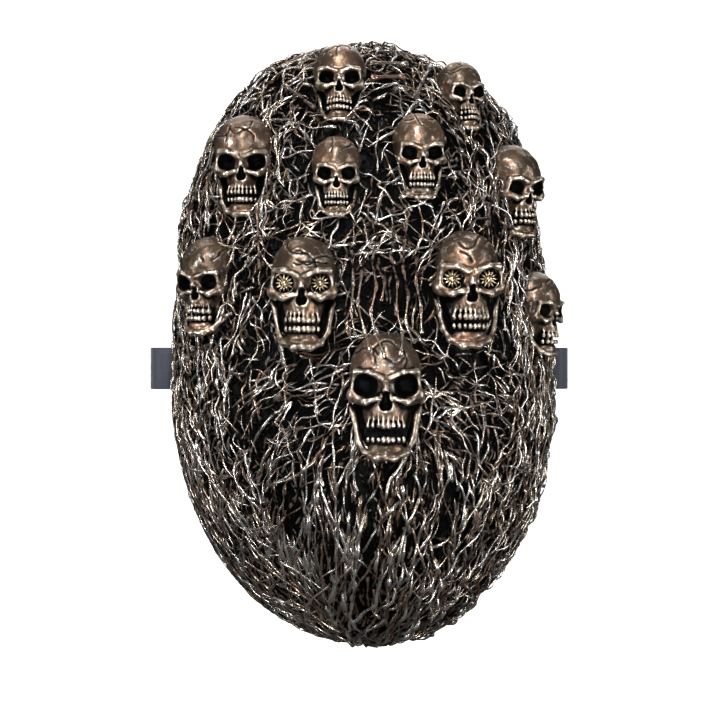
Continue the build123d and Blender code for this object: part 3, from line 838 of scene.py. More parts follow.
def skull_field(x, y, z, name, rng):
    """Signed distance to a skull that faces -Y, in shares of its size, and a map of painted shade in its
    sockets and nose and of its dark cracks.
    """
    gap = 0.040 if name == MOUTH_SKULL else 0.0
    small = name not in EYE_SKULLS and name != MOUTH_SKULL
    ground = cranium(x, y, z, small)
    crack = cracks(rng, x, y, z)
    if small:
        x, z = x * 1.08, (z + 0.49) * 1.12 - 0.49
    ax = np.abs(x)
    d = add_face(ground, ax, x, y, z)
    d = jaw(d, ax, x, y, z, gap)
    d, dark = face_openings(d, ax, x, y, z, gap)
    d = d + 0.012 * crack
    for _ in range(5):
        wave = rng.normal(0, 22, 3)
        d = d + 0.0018 * np.sin(wave[0] * x + wave[1] * y + wave[2] * z + rng.uniform(0, 6))
    if name in EYE_SKULLS:
        d = pocket_slot(d, ax, y, z, 0.14, SOCKET_Z, 0.11)
        d = np.maximum(d, -np.maximum(np.hypot(ax - SOCKET_X, z - SOCKET_Z) - 0.075, np.abs(y + 0.2) - 0.1))
    if name == MOUTH_SKULL:
        d = pocket_slot(d, ax, y, z, 0.09, -0.265, 0.08)
    return d, np.maximum(dark, 0.85 * crack)


def blurred(field, taps):
    """The field averaged along all three axes with a bell-shaped weight."""
    reach = np.arange(-taps, taps + 1)
    weights = np.exp(-((reach / (taps * 0.5)) ** 2))
    weights /= weights.sum()
    for axis in range(3):
        padded = np.pad(field, [(taps, taps) if i == axis else (0, 0) for i in range(3)], mode="edge")
        size = field.shape[axis]
        field = sum(w * np.take(padded, range(i, i + size), axis=axis) for i, w in enumerate(weights))
    return field


def sampled(field, spots):
    """Trilinear samples of a grid at fractional places."""
    low = np.clip(np.floor(spots).astype(int), 0, np.array(field.shape) - 2)
    part = spots - low
    total = 0
    for corner in np.ndindex(2, 2, 2):
        weight = np.prod(np.where(corner, part, 1 - part), axis=1)
        i, j, k = (low + corner).T
        total = total + weight * field[i, j, k]
    return total


def ambient_occlusion(field, points, step):
    """Ambient occlusion for painted shade: 1 in the clear, towards 0 down in a socket or a crack."""
    slope = np.stack([sampled(g, points) for g in np.gradient(field)], 1)
    outward = slope / (np.linalg.norm(slope, axis=1)[:, None] + 1e-9)
    outward = 0.7 * outward + np.array([0, -0.5, 0])
    shut = 0
    for reach, share in ((0.02, 0.5), (0.05, 0.7), (0.09, 0.8), (0.14, 0.6)):
        there = sampled(field, points + outward * reach / step)
        shut = shut + share * np.clip(1 - there / (0.75 * reach), 0, 1.5)
    return np.clip(1 - 0.55 * shut, 0, 1)


def crossings(field, shape):
    """For each grid cell, the sum and number of the places where its edges cross zero."""
    total = np.zeros((*shape, 3), np.float32)
    count = np.zeros(shape, np.float32)

    def corner(c):
        return field[tuple(slice(c[i], c[i] + shape[i]) for i in range(3))]

    for a in np.ndindex(2, 2, 2):
        for axis in (axis for axis in range(3) if not a[axis]):
            b = tuple(1 if i == axis else a[i] for i in range(3))
            fa, fb = corner(a), corner(b)
            crosses = (fa < 0) != (fb < 0)
            t = np.where(crosses, fa / np.where(crosses, fa - fb, 1), 0)
            for i in range(3):
                total[..., i] += np.where(crosses, a[i] + (t if i == axis else 0), 0)
            count += crosses
    return total, count


def faces_across(inside, number, axis):
    """One four-sided face for each grid edge along the axis that runs in or out of the solid."""
    u, v = (axis + 1) % 3, (axis + 2) % 3
    near, far = [slice(None)] * 3, [slice(None)] * 3
    near[axis], far[axis] = slice(0, -1), slice(1, None)
    first, second = inside[tuple(near)], inside[tuple(far)]
    quads = []
    for mark, order in ((first & ~second, 1), (~first & second, -1)):
        at = np.argwhere(mark)
        at = at[(at[:, u] > 0) & (at[:, v] > 0) & (at[:, u] < number.shape[u]) & (at[:, v] < number.shape[v])]
        ring = []
        for du, dv in ((0, 0), (1, 0), (1, 1), (0, 1)):
            cell = at.copy()
            cell[:, u] -= 1 - du
            cell[:, v] -= 1 - dv
            ring.append(number[cell[:, 0], cell[:, 1], cell[:, 2]])
        quads.append(np.stack(ring[::order], 1))
    return quads


def surface_of(field):
    """Points and four-sided faces of the surface where a grid of distances crosses zero."""
    inside = field < 0
    shape = np.array(field.shape) - 1
    total, count = crossings(field, shape)
    used = count > 0
    number = np.full(shape, -1, np.int64)
    number[used] = np.arange(used.sum())
    points = np.argwhere(used) + total[used] / count[used][:, None]
    quads = [quad for axis in range(3) for quad in faces_across(inside, number, axis)]
    return points, np.concatenate(quads)


def make_skull(name, index, material):
    """One skull on a grid of distances, cut off just under the shell's outer surface."""
    centre, turn, size = skull_place(name)
    centre, turn = np.array(centre), np.array(turn).T * size
    cells = SKULL_GRID
    step = 1 / cells
    axes = [np.arange(low, high, step) for low, high in ((-0.36, 0.36), (-0.40, 0.30), (-0.55, 0.56))]
    x, y, z = np.meshgrid(*axes, indexing="ij")
    # black holds the painted shade of the sockets and nose, and the dark cracks.
    field, black = skull_field(x, y, z, name, np.random.default_rng(100 + index))
    height, _ = over_dome(np.stack([x, y, z], -1) @ turn + centre)
    field = np.maximum(field, (-1.2 * MM - height) / size)
    points, quads = surface_of(field)
    ridge = -sampled(field - blurred(field, 3), points) / step
    # Painted shade from ambient occlusion and from the sockets and nose; the cracks are darkened with it.
    open_air = ambient_occlusion(field, points, step) * (1 - sampled(black, points))
    origin = np.array([axis[0] for axis in axes])
    mesh = quad_mesh(name, (points * step + origin) @ turn + centre, quads)
    set_attribute(mesh, "ridge", 0.35 + 1.3 * ridge)
    set_attribute(mesh, "open_air", open_air)
    shade_smooth(mesh)
    mesh.materials.append(material)
    give(new_object(name.replace("skull", "cast_skull"), mesh), "mask", "cast_skull", name)


# ---- strands ------------------------------------------------------------------------------------
MOUTH_MIDDLE = (0.0, -51 * MM)
MAT_EDGE = math.radians(30)
CROWN_MAT_Z, BEARD_MAT_Z = 72 * MM, -82 * MM
MATS = ("mat_crown", "mat_left", "mat_centre", "mat_right", "mat_beard")
RELIEF_TOP = 5.2 * MM     # the strands that stand this high are rubbed brightest

# Layers of strands, deepest first: how many, then thickness, length, height over the shell and step
# in mm, how far they bend, and how closely they close in round the skulls.
Layer = namedtuple("Layer", "count radius length lift step bend tuck")
LAYERS = {
    "roots": Layer(2800, (0.5, 0.9), (10, 26), (0.4, 1.6), 2.4, 12, 1.0),
    "strands": Layer(5000, (0.28, 0.58), (6, 26), (1.5, 3.5), 1.8, 16, 0.95),
    "twigs": Layer(2400, (0.32, 0.64), (9, 38), (2.9, 5.0), 1.6, 10, 0.88),
}
SKINS = {
    "roots": dict(Sides=5, Spacing=2.6 * MM, Knots=0.3),
    "strands": dict(Sides=6, Spacing=2.0 * MM, Knots=0.4),
    "twigs": dict(Sides=6, Spacing=1.5 * MM, Knots=0.5),
}


def rise_of(turn):
    """Height over the widest place, for a turn from 0 at the crown to pi at the chin."""
    return np.where(turn < math.pi / 2, UP * np.abs(np.cos(turn)) ** (2 / SQUARENESS), DOWN * np.cos(turn))


def spread_over_dome(rng, count):
    """Random places spread evenly over the shell's surface: angle and height."""
    z = WIDEST_Z + rise_of(np.linspace(0.01, math.pi - 0.01, 600))
    r = np.array([dome_radius(v) for v in z])
    area = np.hypot(np.diff(r), np.diff(z)) * (r[1:] + r[:-1]) / 2
    share = np.concatenate([[0], np.cumsum(area)]) / area.sum()
    height = np.interp(rng.random(count), share, z)
    return rng.uniform(-math.pi / 2, math.pi / 2, count), height


def flow(angle, z):
    """Which way strands run there, 0 being down and positive towards +X; how much they stray; beard."""
    across = angle * 88 * MM - MOUTH_MIDDLE[0]
    below = MOUTH_MIDDLE[1] - z
    away = np.arctan2(across, below)
    near = np.hypot(across, below)
    inner = smoothstep(math.radians(45), math.radians(20), np.abs(angle))
    pull = smoothstep(95 * MM, 45 * MM, near) * smoothstep(-45 * MM, 5 * MM, below) * 0.75
    beard = smoothstep(-75 * MM, -95 * MM, z) * smoothstep(math.radians(50), math.radians(20), np.abs(angle))
    stray = 0.60 - 0.34 * beard - 0.12 * pull
    clutter = smoothstep(-30 * MM, 0, z) * inner
    return away * pull * (1 - 0.6 * beard), stray + 0.5 * clutter, beard


# Swellings and dips of the relief: angle round the shell, height, reach and extra height, in mm.
LUMPS = [
    (0, 112, 34, 4.5),
    (-62, 98, 18, 4.0),
    (62, 90, 18, 2.5),
    (82, 74, 17, 5.5),
    (-85, 32, 14, 2.5),
    (85, 18, 24, -3.0),
    (86, -60, 12, 4.0),
    (78, -100, 30, 2.5),
    (40, -148, 34, 5.0),
    (-75, -100, 40, -3.5),
    (-50, -142, 40, -4.0),
    (-85, 5, 20, -2.0),
    (70, -80, 24, -2.0),
    (10, 116, 20, 2.0),
]


def apart_from(points, angle, z):
    """How far points are from a place on the shell, given by its angle and its height in mm."""
    x, y, _ = on_dome(math.radians(angle), min(z * MM, TOP_Z))
    return np.linalg.norm(points - np.array([x, y, z * MM]), axis=1)


def swell(points):
    """Extra height of the relief over the shell at each point."""
    extra = 0
    for angle, z, reach, height in LUMPS:
        extra = extra + height * MM * np.exp(-((apart_from(points, angle, z) / (reach * MM)) ** 2))
    return extra


# Bare hollows between the mats: angle, height and reach.
HOLLOWS = [
    (-19, -39, 8),
    (29, -33, 7),
    (-3, -6, 13),
    (10, -9, 8),
    (-50, 27, 5),
    (15, 36, 5),
    (-30, -60, 6),
    (38, -60, 6),
]


def in_hollow(rng, points):
    """Marks points that fall in a bare hollow; near its edge only some of them."""
    marked = np.zeros(len(points), bool)
    for angle, z, reach in HOLLOWS:
        marked |= apart_from(points, angle, z) < reach * MM * rng.uniform(0.7, 1.5, len(points))
    return marked


def outside_skulls(points, shrink=1.0):
    """Points pushed sideways out of the skulls, and a mark on those that were inside."""
    pushed, marked = points.copy(), np.zeros(len(points), bool)
    for name in SKULLS:
        centre, turn, size = skull_place(name)
        turn = np.array(turn)
        local = (pushed - np.array(centre)) @ turn / size
        across, up = local[:, 0] / (0.285 * shrink), (local[:, 2] + 0.02) / (0.515 * shrink)
        share = np.hypot(across, up)
        inside = (share < 1) & (local[:, 1] < 0.6)
        scale = np.where(inside, 1 / np.clip(share, 0.05, None), 1)
        local[:, 0] *= scale
        local[:, 2] = (local[:, 2] + 0.02) * scale - 0.02
        pushed = np.where(inside[:, None], local @ turn.T * size + np.array(centre), pushed)
        marked |= inside
    return pushed, marked


def clear_of_strap(points):
    """Strands stop short of where the strap comes round the edge."""
    beside = (np.abs(points[:, 0]) > 78 * MM) & (points[:, 1] > -14 * MM)
    level = (points[:, 2] > -50.5 * MM) & (points[:, 2] < -25.5 * MM)
    points[:, 1] = np.where(beside & level, -14 * MM, points[:, 1])
    return points


def settle(points, lift):
    """Points brought to a height over the shell and kept in front of the rim."""
    points[:, 1] = np.minimum(points[:, 1], RIM_Y)
    lift = lift * np.clip(1 + swell(points) / (5.5 * MM), 0.35, None)
    lift = lift * (0.5 + 0.5 * smoothstep(0, -13 * MM, points[:, 1]))
    for _ in range(2):
        height, normal = over_dome(points)
        points = points - normal * (height - lift)[:, None]
        points[:, 1] = np.minimum(points[:, 1], RIM_Y)
    return points


def strand_starts(rng, layer, count):
    """Where a layer's strands start: clear of the skulls and, unless they are roots, of the hollows."""
    angle, z = spread_over_dome(rng, count)
    r = np.array([dome_radius(v) for v in z])
    start = np.stack([r * np.sin(angle), -r * np.cos(angle), z], 1)
    _, shut = outside_skulls(start, 0.92)
    shut |= in_hollow(rng, start) & (layer.lift[0] > 0.5)
    return angle[~shut], z[~shut], start[~shut]


def strand_habits(rng, layer, stray, beard):
    """How each strand of a layer wanders: length, lean, curl, waves, height and which end comes first."""
    count = len(beard)
    return SimpleNamespace(
        own=rng.normal(0, 1, count) * stray,
        reach=rng.uniform(layer.length[0] * MM, layer.length[1] * MM, count) * (1 + 0.7 * beard),
        curl=rng.normal(0, layer.bend, count) * (1 - 0.5 * beard),
        wave=rng.uniform(7, 16, count) * MM,
        phase=rng.uniform(0, 6.3, count),
        sway=rng.uniform(0.05, 0.35, count) * (1 - 0.6 * beard),
        level=rng.uniform(layer.lift[0] * MM, layer.lift[1] * MM, count),
        weave=rng.uniform(0.3, 1.0, count) * MM,
        weave_phase=rng.uniform(0, 6.3, count),
        upwards=rng.random(count) < 0.5,
    )


def lift_at(habits, low, s):
    """Height over the shell at a distance s along each strand; both ends dive."""
    share = s / habits.reach
    dive = 1 - smoothstep(0.0, 0.12, share) * smoothstep(1.05, 0.85, share)
    over = habits.weave * np.sin(s / (1.6 * habits.wave) * 6.3 + habits.weave_phase)
    return np.maximum(habits.level + over - dive * (habits.level - low) * 0.8, 0)


def directions(points):
    """Sideways and downwards along the shell at each point."""
    _, normal = over_dome(points)
    side = np.stack([-points[:, 1], points[:, 0], np.zeros(len(points))], 1)
    side /= np.linalg.norm(side, axis=1)[:, None] + 1e-9
    return side, np.cross(side, normal)


def lay_strands(rng, layer, count):
    """Guide lines for one layer: a list of (points, radius, tone, knob)."""
    step, low = layer.step * MM, layer.lift[0] * MM
    angle, z, here = strand_starts(rng, layer, count)
    count = len(here)
    base, stray, beard = flow(angle, z)
    habits = strand_habits(rng, layer, stray, beard)
    steps = np.clip((habits.reach / step).astype(int), 3, 40)
    kinks, lines = np.zeros(count), []
    for i in range(steps.max() + 1):
        s = i * step
        lift = lift_at(habits, low, s)
        here, _ = outside_skulls(settle(here, lift), layer.tuck)
        here = clear_of_strap(settle(here, lift))
        lines.append(here.copy())
        side, down = directions(here)
        lean, _, _ = flow(np.arctan2(here[:, 0], -here[:, 1]), here[:, 2])
        turned = (rng.random(count) < 0.16) * rng.normal(0, 0.55, count) * (1 - 0.5 * beard)
        kinks = kinks * 0.9 + turned
        sway = habits.sway * np.sin(s / habits.wave * 6.3 + habits.phase)
        way = 0.5 * (base + lean) + habits.own + habits.curl * s + sway + kinks
        way = np.where(habits.upwards, way + math.pi, way)
        here = here + step * (down * np.cos(way)[:, None] + side * np.sin(way)[:, None])
    lines = np.stack(lines, 1)
    at_rim = lines[:, :, 1] > RIM_Y - 0.3 * MM
    last = np.where(at_rim.any(1), at_rim.argmax(1) + 1, steps)
    steps = np.minimum(steps, np.maximum(last, 3))
    thick = rng.uniform(layer.radius[0] * MM, layer.radius[1] * MM, count) * (1 + 0.3 * beard)
    kept = rng.random(count) > 0.4 * beard
    tone = rng.random(count)
    knob = (rng.random(count) < 0.3).astype(float)
    return [(lines[i, : steps[i]], thick[i], tone[i], knob[i]) for i in np.flatnonzero(kept)]


def forked(rng, strands, share):
    """Short side roots that leave some of the strands."""
    more = []
    for points, thick, tone, _ in strands:
        if rng.random() > share or len(points) < 6:
            continue
        at = rng.integers(2, len(points) - 2)
        way = points[at + 1] - points[at]
        _, normal = over_dome(points[at][None])
        side = np.cross(way, normal[0]) * rng.choice([-1, 1])
        reach = rng.integers(3, 6)
        branch = [points[at]]
        for i in range(reach):
            branch.append(branch[-1] + way * 0.8 + side * (0.75 - 0.12 * i))
        branch = settle(np.array(branch), np.linspace(1.0, 3.0, reach + 1) * MM)
        branch[0] = points[at]
        more.append((outside_skulls(branch)[0], thick * 0.75, tone, 0.0))
    return strands + more


def guide_mesh(name, strands):
    """All guide lines as one wire mesh that carries each strand's thickness, tone and knob."""
    points = np.concatenate([s[0] for s in strands])
    ends = np.cumsum([len(s[0]) for s in strands])
    first = np.arange(len(points) - 1)
    first = first[~np.isin(first + 1, ends)]
    mesh = bpy.data.meshes.new(name)
    mesh.vertices.add(len(points))
    set_points(mesh, points)
    mesh.edges.add(len(first))
    mesh.edges.foreach_set("vertices", np.stack([first, first + 1], 1).astype(np.int32).ravel())
    for i, key in enumerate(("thick", "tone", "knob"), 1):
        set_attribute(mesh, key, np.repeat([s[i] for s in strands], [len(s[0]) for s in strands]))
    mesh.update()
    return mesh


def mat_of(strand):
    """The mat that a strand's middle lies in."""
    x, y, z = strand[0][len(strand[0]) // 2]
    angle = math.atan2(x, -y)
    if z > CROWN_MAT_Z:
        return "mat_crown"
    if z < BEARD_MAT_Z:
        return "mat_beard"
    if abs(angle) < MAT_EDGE:
        return "mat_centre"
    return "mat_right" if angle > 0 else "mat_left"


def relief_of(mesh, top):
    """0 at the shell, 1 at the top of the strands, lumps and dips allowed for."""
    points = mesh_points(mesh)
    height, _ = over_dome(points)
    return np.clip(height / np.clip(top + swell(points), 2 * MM, None), 0, 1.4)


def rough(points, rng, waves, length):
    """Smooth random bumps, roughly -1 to 1, of about the given wavelength."""
    total = 0
    for _ in range(waves):
        way = rng.normal(0, 1, 3)
        way *= 2 * math.pi / (length * np.linalg.norm(way))
        total = total + np.sin(points @ way + rng.uniform(0, 6.3))
    return total / math.sqrt(waves)


def skin_grid(around, up):
    """Rows of places over the shell's outer surface, crown to chin."""
    rise = rise_of(np.linspace(0.004, math.pi - 0.004, up))
    z = WIDEST_Z + rise
    r = np.array([dome_radius(v) for v in np.clip(z, WIDEST_Z - DOWN * 0.99995, WIDEST_Z + UP * 0.99995)])
    angle = np.linspace(-math.pi / 2, math.pi / 2, around)
    place = np.stack([r[:, None] * np.sin(angle), -r[:, None] * np.cos(angle), z[:, None] + 0 * angle], -1)
    return place.reshape(-1, 3)


def skin_height(place, bumps):
    """How thick the ground is: swollen with the relief, full at the rim, and flat beside the strap."""
    height = (1.2 * MM + bumps * MM) * np.clip(1 + swell(place) / (4 * MM), 0.35, None)
    height = np.clip(height + 0.9 * MM * smoothstep(-9 * MM, -2 * MM, place[:, 1]), 0.25 * MM, None)
    beside = (np.abs(place[:, 0]) > 76 * MM) & (place[:, 1] > -16 * MM)
    level = np.abs(place[:, 2] + 38 * MM) < 14 * MM
    return np.where(beside & level, 0.25 * MM, height)


def make_skin(material):
    """The knobbly ground under the strands: a closed skin over the whole shell."""
    rng = np.random.default_rng(5)
    around, up = ((170, 220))
    place = skin_grid(around, up)
    _, normal = over_dome(place)
    normal[:, 1] = np.minimum(normal[:, 1], 0)
    bumps = rough(place, rng, 9, 9 * MM) * 0.45 + np.abs(rough(place, rng, 12, 3.2 * MM)) * 0.75
    outer, inner = place + normal * skin_height(place, bumps)[:, None], place + normal * 0.03 * MM
    grid = np.arange(up * around).reshape(up, around)
    sheet = np.stack([grid[:-1, :-1], grid[:-1, 1:], grid[1:, 1:], grid[1:, :-1]], -1).reshape(-1, 4)
    edge = np.concatenate([grid[0, :], grid[1:, -1], grid[-1, -2::-1], grid[-2:0:-1, 0]])
    after, many = np.roll(edge, -1), up * around
    wall = np.stack([edge, edge + many, after + many, after], -1)
    quads = np.concatenate([sheet[:, ::-1], sheet + many, wall[:, ::-1]])
    mesh = quad_mesh("relief_ground", np.concatenate([outer, inner]), quads)
    turn_faces_out(mesh)
    # The ground's low relief is painted near-black, partly painted shade under the strands; its inner face is
    # black.
    top = np.clip(0.05 + 0.34 * bumps, 0, 0.7)
    set_attribute(mesh, "relief", np.concatenate([top, 0 * top]))
    set_attribute(mesh, "tone", np.concatenate([0.5 + 0.5 * rough(place, rng, 6, 12 * MM) * 0.5] * 2))
    shade_smooth(mesh)
    mesh.materials.append(material)
    give(new_object("relief_ground", mesh), "mask", "strand_relief", *MATS)


def make_strands(tree, material):
    """Three layers of strands on each mat, the deep ones thick and short, the top ones long."""
    rng = np.random.default_rng(7)
    fewer = 1.0
    for layer, made in LAYERS.items():
        strands = lay_strands(rng, made, int(made.count * fewer))
        if layer != "roots":
            strands = forked(rng, strands, 0.22)
        for mat in MATS:
            name = layer + mat.replace("mat", "")
            mine = [s for s in strands if mat_of(s) == mat]
            mesh = grown(name, guide_mesh(name, mine), tree, Material=material, **SKINS[layer])
            set_attribute(mesh, "relief", relief_of(mesh, RELIEF_TOP))
            give(new_object(name, mesh), "mask", "strand_relief", mat)


# ---- long bones ---------------------------------------------------------------------------------
# Straight bones: angle round the shell, height, tilt from upright, length and thickness.
LONG_BONES = [
    (9.5, 98.5, 90, 17, 1.0),
    (6.5, 93.0, 86, 15, 1.1),
    (24.0, 92.0, 40, 26, 0.8),
    (-32.0, 85.0, -55, 22, 0.8),
    (38.0, 38.0, 25, 24, 0.8),
    (-38.0, 22.0, -8, 30, 0.8),
]
# Finger bones run from among the strands down onto the mouth skull's crown: (x, z) of each joint.
FINGER_BONES = [
    [(-15, 17), (-14, 2), (-15, -12), (-13, -23)],
    [(-8, 20), (-10, 6), (-12, -8), (-9, -20), (-7, -30)],
    [(-2, 24), (-5, 12), (-3, 0), (-6, -12), (-4, -23), (-1, -33)],
    [(6, 26), (4, 14), (7, 2), (6, -10), (8, -21), (5, -32)],
    [(11, 22), (10, 8), (12, -4), (10, -16), (12, -26)],
    [(17, 14), (16, 2), (18, -10), (17, -22)],
    [(-3, 10), (1, 2), (-1, -7)],
    [(2, 30), (6, 25), (10, 28), (14, 20)],
]
# How high they stand over the shell at each height z: higher where they climb the mouth skull.
FINGER_LIFT = [(-34, 23.4), (-30, 21.4), (-27, 18.9), (-24, 14.6), (-22, 11), (-14, 8), (10, 5.6)]


def bone_line(angle, z, tilt, length):
    """Seven points along a bone that lies over the strands."""
    angle, z, half = math.radians(angle), z * MM, length * MM / 2
    middle = on_dome(angle, z)[None]
    _, normal = over_dome(middle)
    across = np.array([math.cos(angle), math.sin(angle), 0])
    up = np.cross(normal[0], across)
    way = across * math.sin(math.radians(tilt)) + up * math.cos(math.radians(tilt))
    return middle + np.linspace(-half, half, 7)[:, None] * way


def make_bones(tree, material):
    rng = np.random.default_rng(3)
    straight, fingers = [], []
    for angle, z, tilt, length, radius in LONG_BONES:
        line = settle(bone_line(angle, z, tilt, length), np.full(7, 6.2 * MM))
        straight.append((line, radius * MM, 0.6 + 0.4 * rng.random(), 1.0))
    share = np.linspace(0, 1, 5)[:, None]
    for joints in FINGER_BONES:
        for (xa, za), (xb, zb) in zip(joints, joints[1:]):
            flat = (1 - share) * np.array([xa, -95, za]) + share * np.array([xb, -95, zb])
            line = settle(flat * MM, np.interp(flat[:, 2], *zip(*FINGER_LIFT)) * MM)
            fingers.append((line, rng.uniform(0.55, 0.75) * MM, 0.6 + 0.25 * rng.random(), 1.0))
    look = dict(Material=material, Sides=10, Spacing=0.8 * MM, Knots=0.15)
    for name, lines in (("long_bones", straight), ("finger_bones", fingers)):
        mesh = grown(name, guide_mesh(name, lines), tree, **look)
        set_attribute(mesh, "relief", relief_of(mesh, 10 * MM))
        give(new_object("cast_" + name, mesh), "mask", "cast_bone", name)


# ---- eye grilles --------------------------------------------------------------------------------
def make_grilles(tree, material):
    for name in EYE_SKULLS:
        centre, turn, size = skull_place(name)
        for side, label in ((-1, "a"), (1, "b")):
            mesh = grown(
                "grille",
                new_mesh("seed", [(0, 0, 0)]),
                tree,
                Material=material,
                Hub_Radius=0.027 * size,
                Petal_Ring_Radius=0.052 * size,
                Petal_Size=(0.027 * size, 0.0085 * size, 0.009 * size),
                Rim_Radius=0.091 * size,
                Rim_Thickness=0.005 * size,
            )
            local = Vector((side * SOCKET_X, -0.215, SOCKET_Z)) * size
            face_out = Matrix.Rotation(math.radians(90), 4, "X")
            mesh.transform(Matrix.Translation(centre) @ turn.to_4x4() @ Matrix.Translation(local) @ face_out)
            node = name.replace("skull", "grille") + "_" + label
            give(new_object("sun_" + node, mesh), "mask", "grille_metal", node)


# ---- strap --------------------------------------------------------------------------------------
STRAP_Z = -38 * MM
STRAP_WIDTH = 20 * MM
PIVOT_Y = 22 * MM
TAB_THICK = 1.5 * MM
BAND_THICK = 1.3 * MM
TAB_INNER_X = 82.5 * MM
BAND_X = 80.9 * MM
BAND_BACK_Y = 112 * MM
BAND_CORNER = 50 * MM
TAB_ROUTE = [(82.5, 32.0), (82.5, -8.95), (100.2, -8.95), (100.2, 5.0), (84.1, 13.0), (84.1, 32.0)]
TAB_RADII = [2.0, 6.5, 4.0, 5.0]


def rounded_route(corners, radii, arc_steps=8):
    """A plan line of straight runs and tangent arcs, as points in the XY plane."""
    corners = [Vector(c) for c in corners]
    points = [corners[0]]
    for before, corner, after, radius in zip(corners, corners[1:], corners[2:], radii):
        into, out = (corner - before).normalized(), (after - corner).normalized()
        turn = into.angle(out)
        cut = radius * math.tan(turn / 2)
        start, end = corner - into * cut, corner + out * cut
        middle = corner + (out - into).normalized() * radius / math.cos(turn / 2)
        for i in range(arc_steps + 1):
            spoke = (start - middle).lerp(end - middle, i / arc_steps)
            points.append(middle + spoke.normalized() * radius)
    points.append(corners[-1])
    return points


def evened(points, step):
    """The same line with points added so that no run is longer than step."""
    out = [points[0]]
    for a, b in zip(points, points[1:]):
        parts = max(1, math.ceil((b - a).length / step))
        out += [a.lerp(b, i / parts) for i in range(1, parts + 1)]
    return out


def ribbon(name, route, width, thick, middle_z, material, edge=0.35, shape=None):
    """A band standing on edge along a plan line, with soft selvedges and a cloth UV map."""
    half, side = thick / 2, edge * thick
    section = []
    for sign_v, sign_w in ((-1, -1), (1, -1), (1, 1), (-1, 1)):
        for i in range(4):
            a = math.radians(i * 30)
            c, s = (math.cos(a), math.sin(a)) if sign_v * sign_w > 0 else (math.sin(a), math.cos(a))
            section.append((sign_v * (width / 2 - side + side * c), sign_w * (half - side + side * s)))
    columns = len(section)
    points, along = [], [0.0]
    for i, spot in enumerate(route):
        before, after = route[max(i - 1, 0)], route[min(i + 1, len(route) - 1)]
        way = (after - before).normalized()
        out = Vector((way.y, -way.x))
        squeeze = shape(i / (len(route) - 1)) if shape else 1.0
        points += [(spot.x + out.x * w, spot.y + out.y * w, middle_z + v * squeeze) for v, w in section]
        if i:
            along.append(along[-1] + (spot - route[i - 1]).length)
    faces = []
    for i in range(len(route) - 1):
        for j in range(columns):
            k = (j + 1) % columns
            faces.append((i * columns + j, i * columns + k, (i + 1) * columns + k, (i + 1) * columns + j))
    last = (len(route) - 1) * columns
    faces += [tuple(range(columns - 1, -1, -1)), tuple(last + j for j in range(columns))]
    mesh = new_mesh(name, points, faces)
    layer = mesh.uv_layers.new(name="cloth")
    for polygon in mesh.polygons:
        for loop in polygon.loop_indices:
            vertex = mesh.loops[loop].vertex_index
            layer.data[loop].uv = (along[vertex // columns], section[vertex % columns][0])
    turn_faces_out(mesh)
    shade_smooth(mesh, 50)
    mesh.materials.append(material)
    return mesh


def mirrored(route, side):
    return [Vector((side * p.x, p.y)) for p in route]


def guide_copies(name, spots, ups, alongs, tree, shape, material):
    """One mesh with a copy of the shape at each spot; ups and alongs say which way each copy faces."""
    guide = new_mesh(name, spots)
    for key, vectors in (("up", ups), ("along", alongs)):
        made = guide.attributes.new(key, "FLOAT_VECTOR", "POINT")
        made.data.foreach_set("vector", np.array(vectors, np.float32).ravel())
    return grown(name, guide, tree, Shape=shape, Material=material, Size=1.0)


def lathe(name, profile, segments=32):
    """A turned shape: profile points are (radius, height), from the axis back to the axis."""
    points, faces = [], []
    for radius, height in profile[1:-1]:
        for i in range(segments):
            a = 2 * math.pi * i / segments
            points.append((radius * math.cos(a), radius * math.sin(a), height))
    rows = len(profile) - 2
    points += [(0, 0, profile[0][1]), (0, 0, profile[-1][1])]
    first, last = len(points) - 2, len(points) - 1
    for i in range(segments):
        k = (i + 1) % segments
        faces.append((first, k, i))
        faces.append((last, (rows - 1) * segments + i, (rows - 1) * segments + k))
        for j in range(rows - 1):
            faces.append((j * segments + i, j * segments + k, (j + 1) * segments + k, (j + 1) * segments + i))
    return new_mesh(name, points, faces)


def make_tab(side, label, webbing):
    """A webbing loop from the inside of the shell, round its edge and back to the rivet."""
    corners = [Vector((x, y)) * MM for x, y in TAB_ROUTE]
    route = evened(rounded_route(corners, [r * MM for r in TAB_RADII]), 2 * MM)
    mesh = ribbon(f"tab_{label}", mirrored(route, side), STRAP_WIDTH, TAB_THICK, STRAP_Z, webbing)
    give(new_object(f"webbing_tab_{label}", mesh), "mask", "strap_webbing", f"strap_tab_{label}")


def sew_tab(side, label, copies, stitch, thread):
    """The same stitches on the outer and on the inner face of a tab."""
    out_x = side * (TAB_INNER_X + 1.5 * TAB_THICK + 0.12 * MM)
    in_x = side * (TAB_INNER_X - 0.5 * TAB_THICK - 0.02 * MM)
    spots, ups, alongs = [], [], []
    for face_x, up in ((out_x, side), (in_x, -side)):
        for y, z, vertical in stitch_spots():
            spots.append((face_x, y, STRAP_Z + z))
            ups.append((up, 0, 0))
            alongs.append((0, 0, 1) if vertical else (0, 1, 0))
    sewn = guide_copies(f"stitches_{label}", spots, ups, alongs, copies, stitch, thread)
    give(new_object(f"tab_stitches_{label}", sewn), "mask", "strap_webbing")


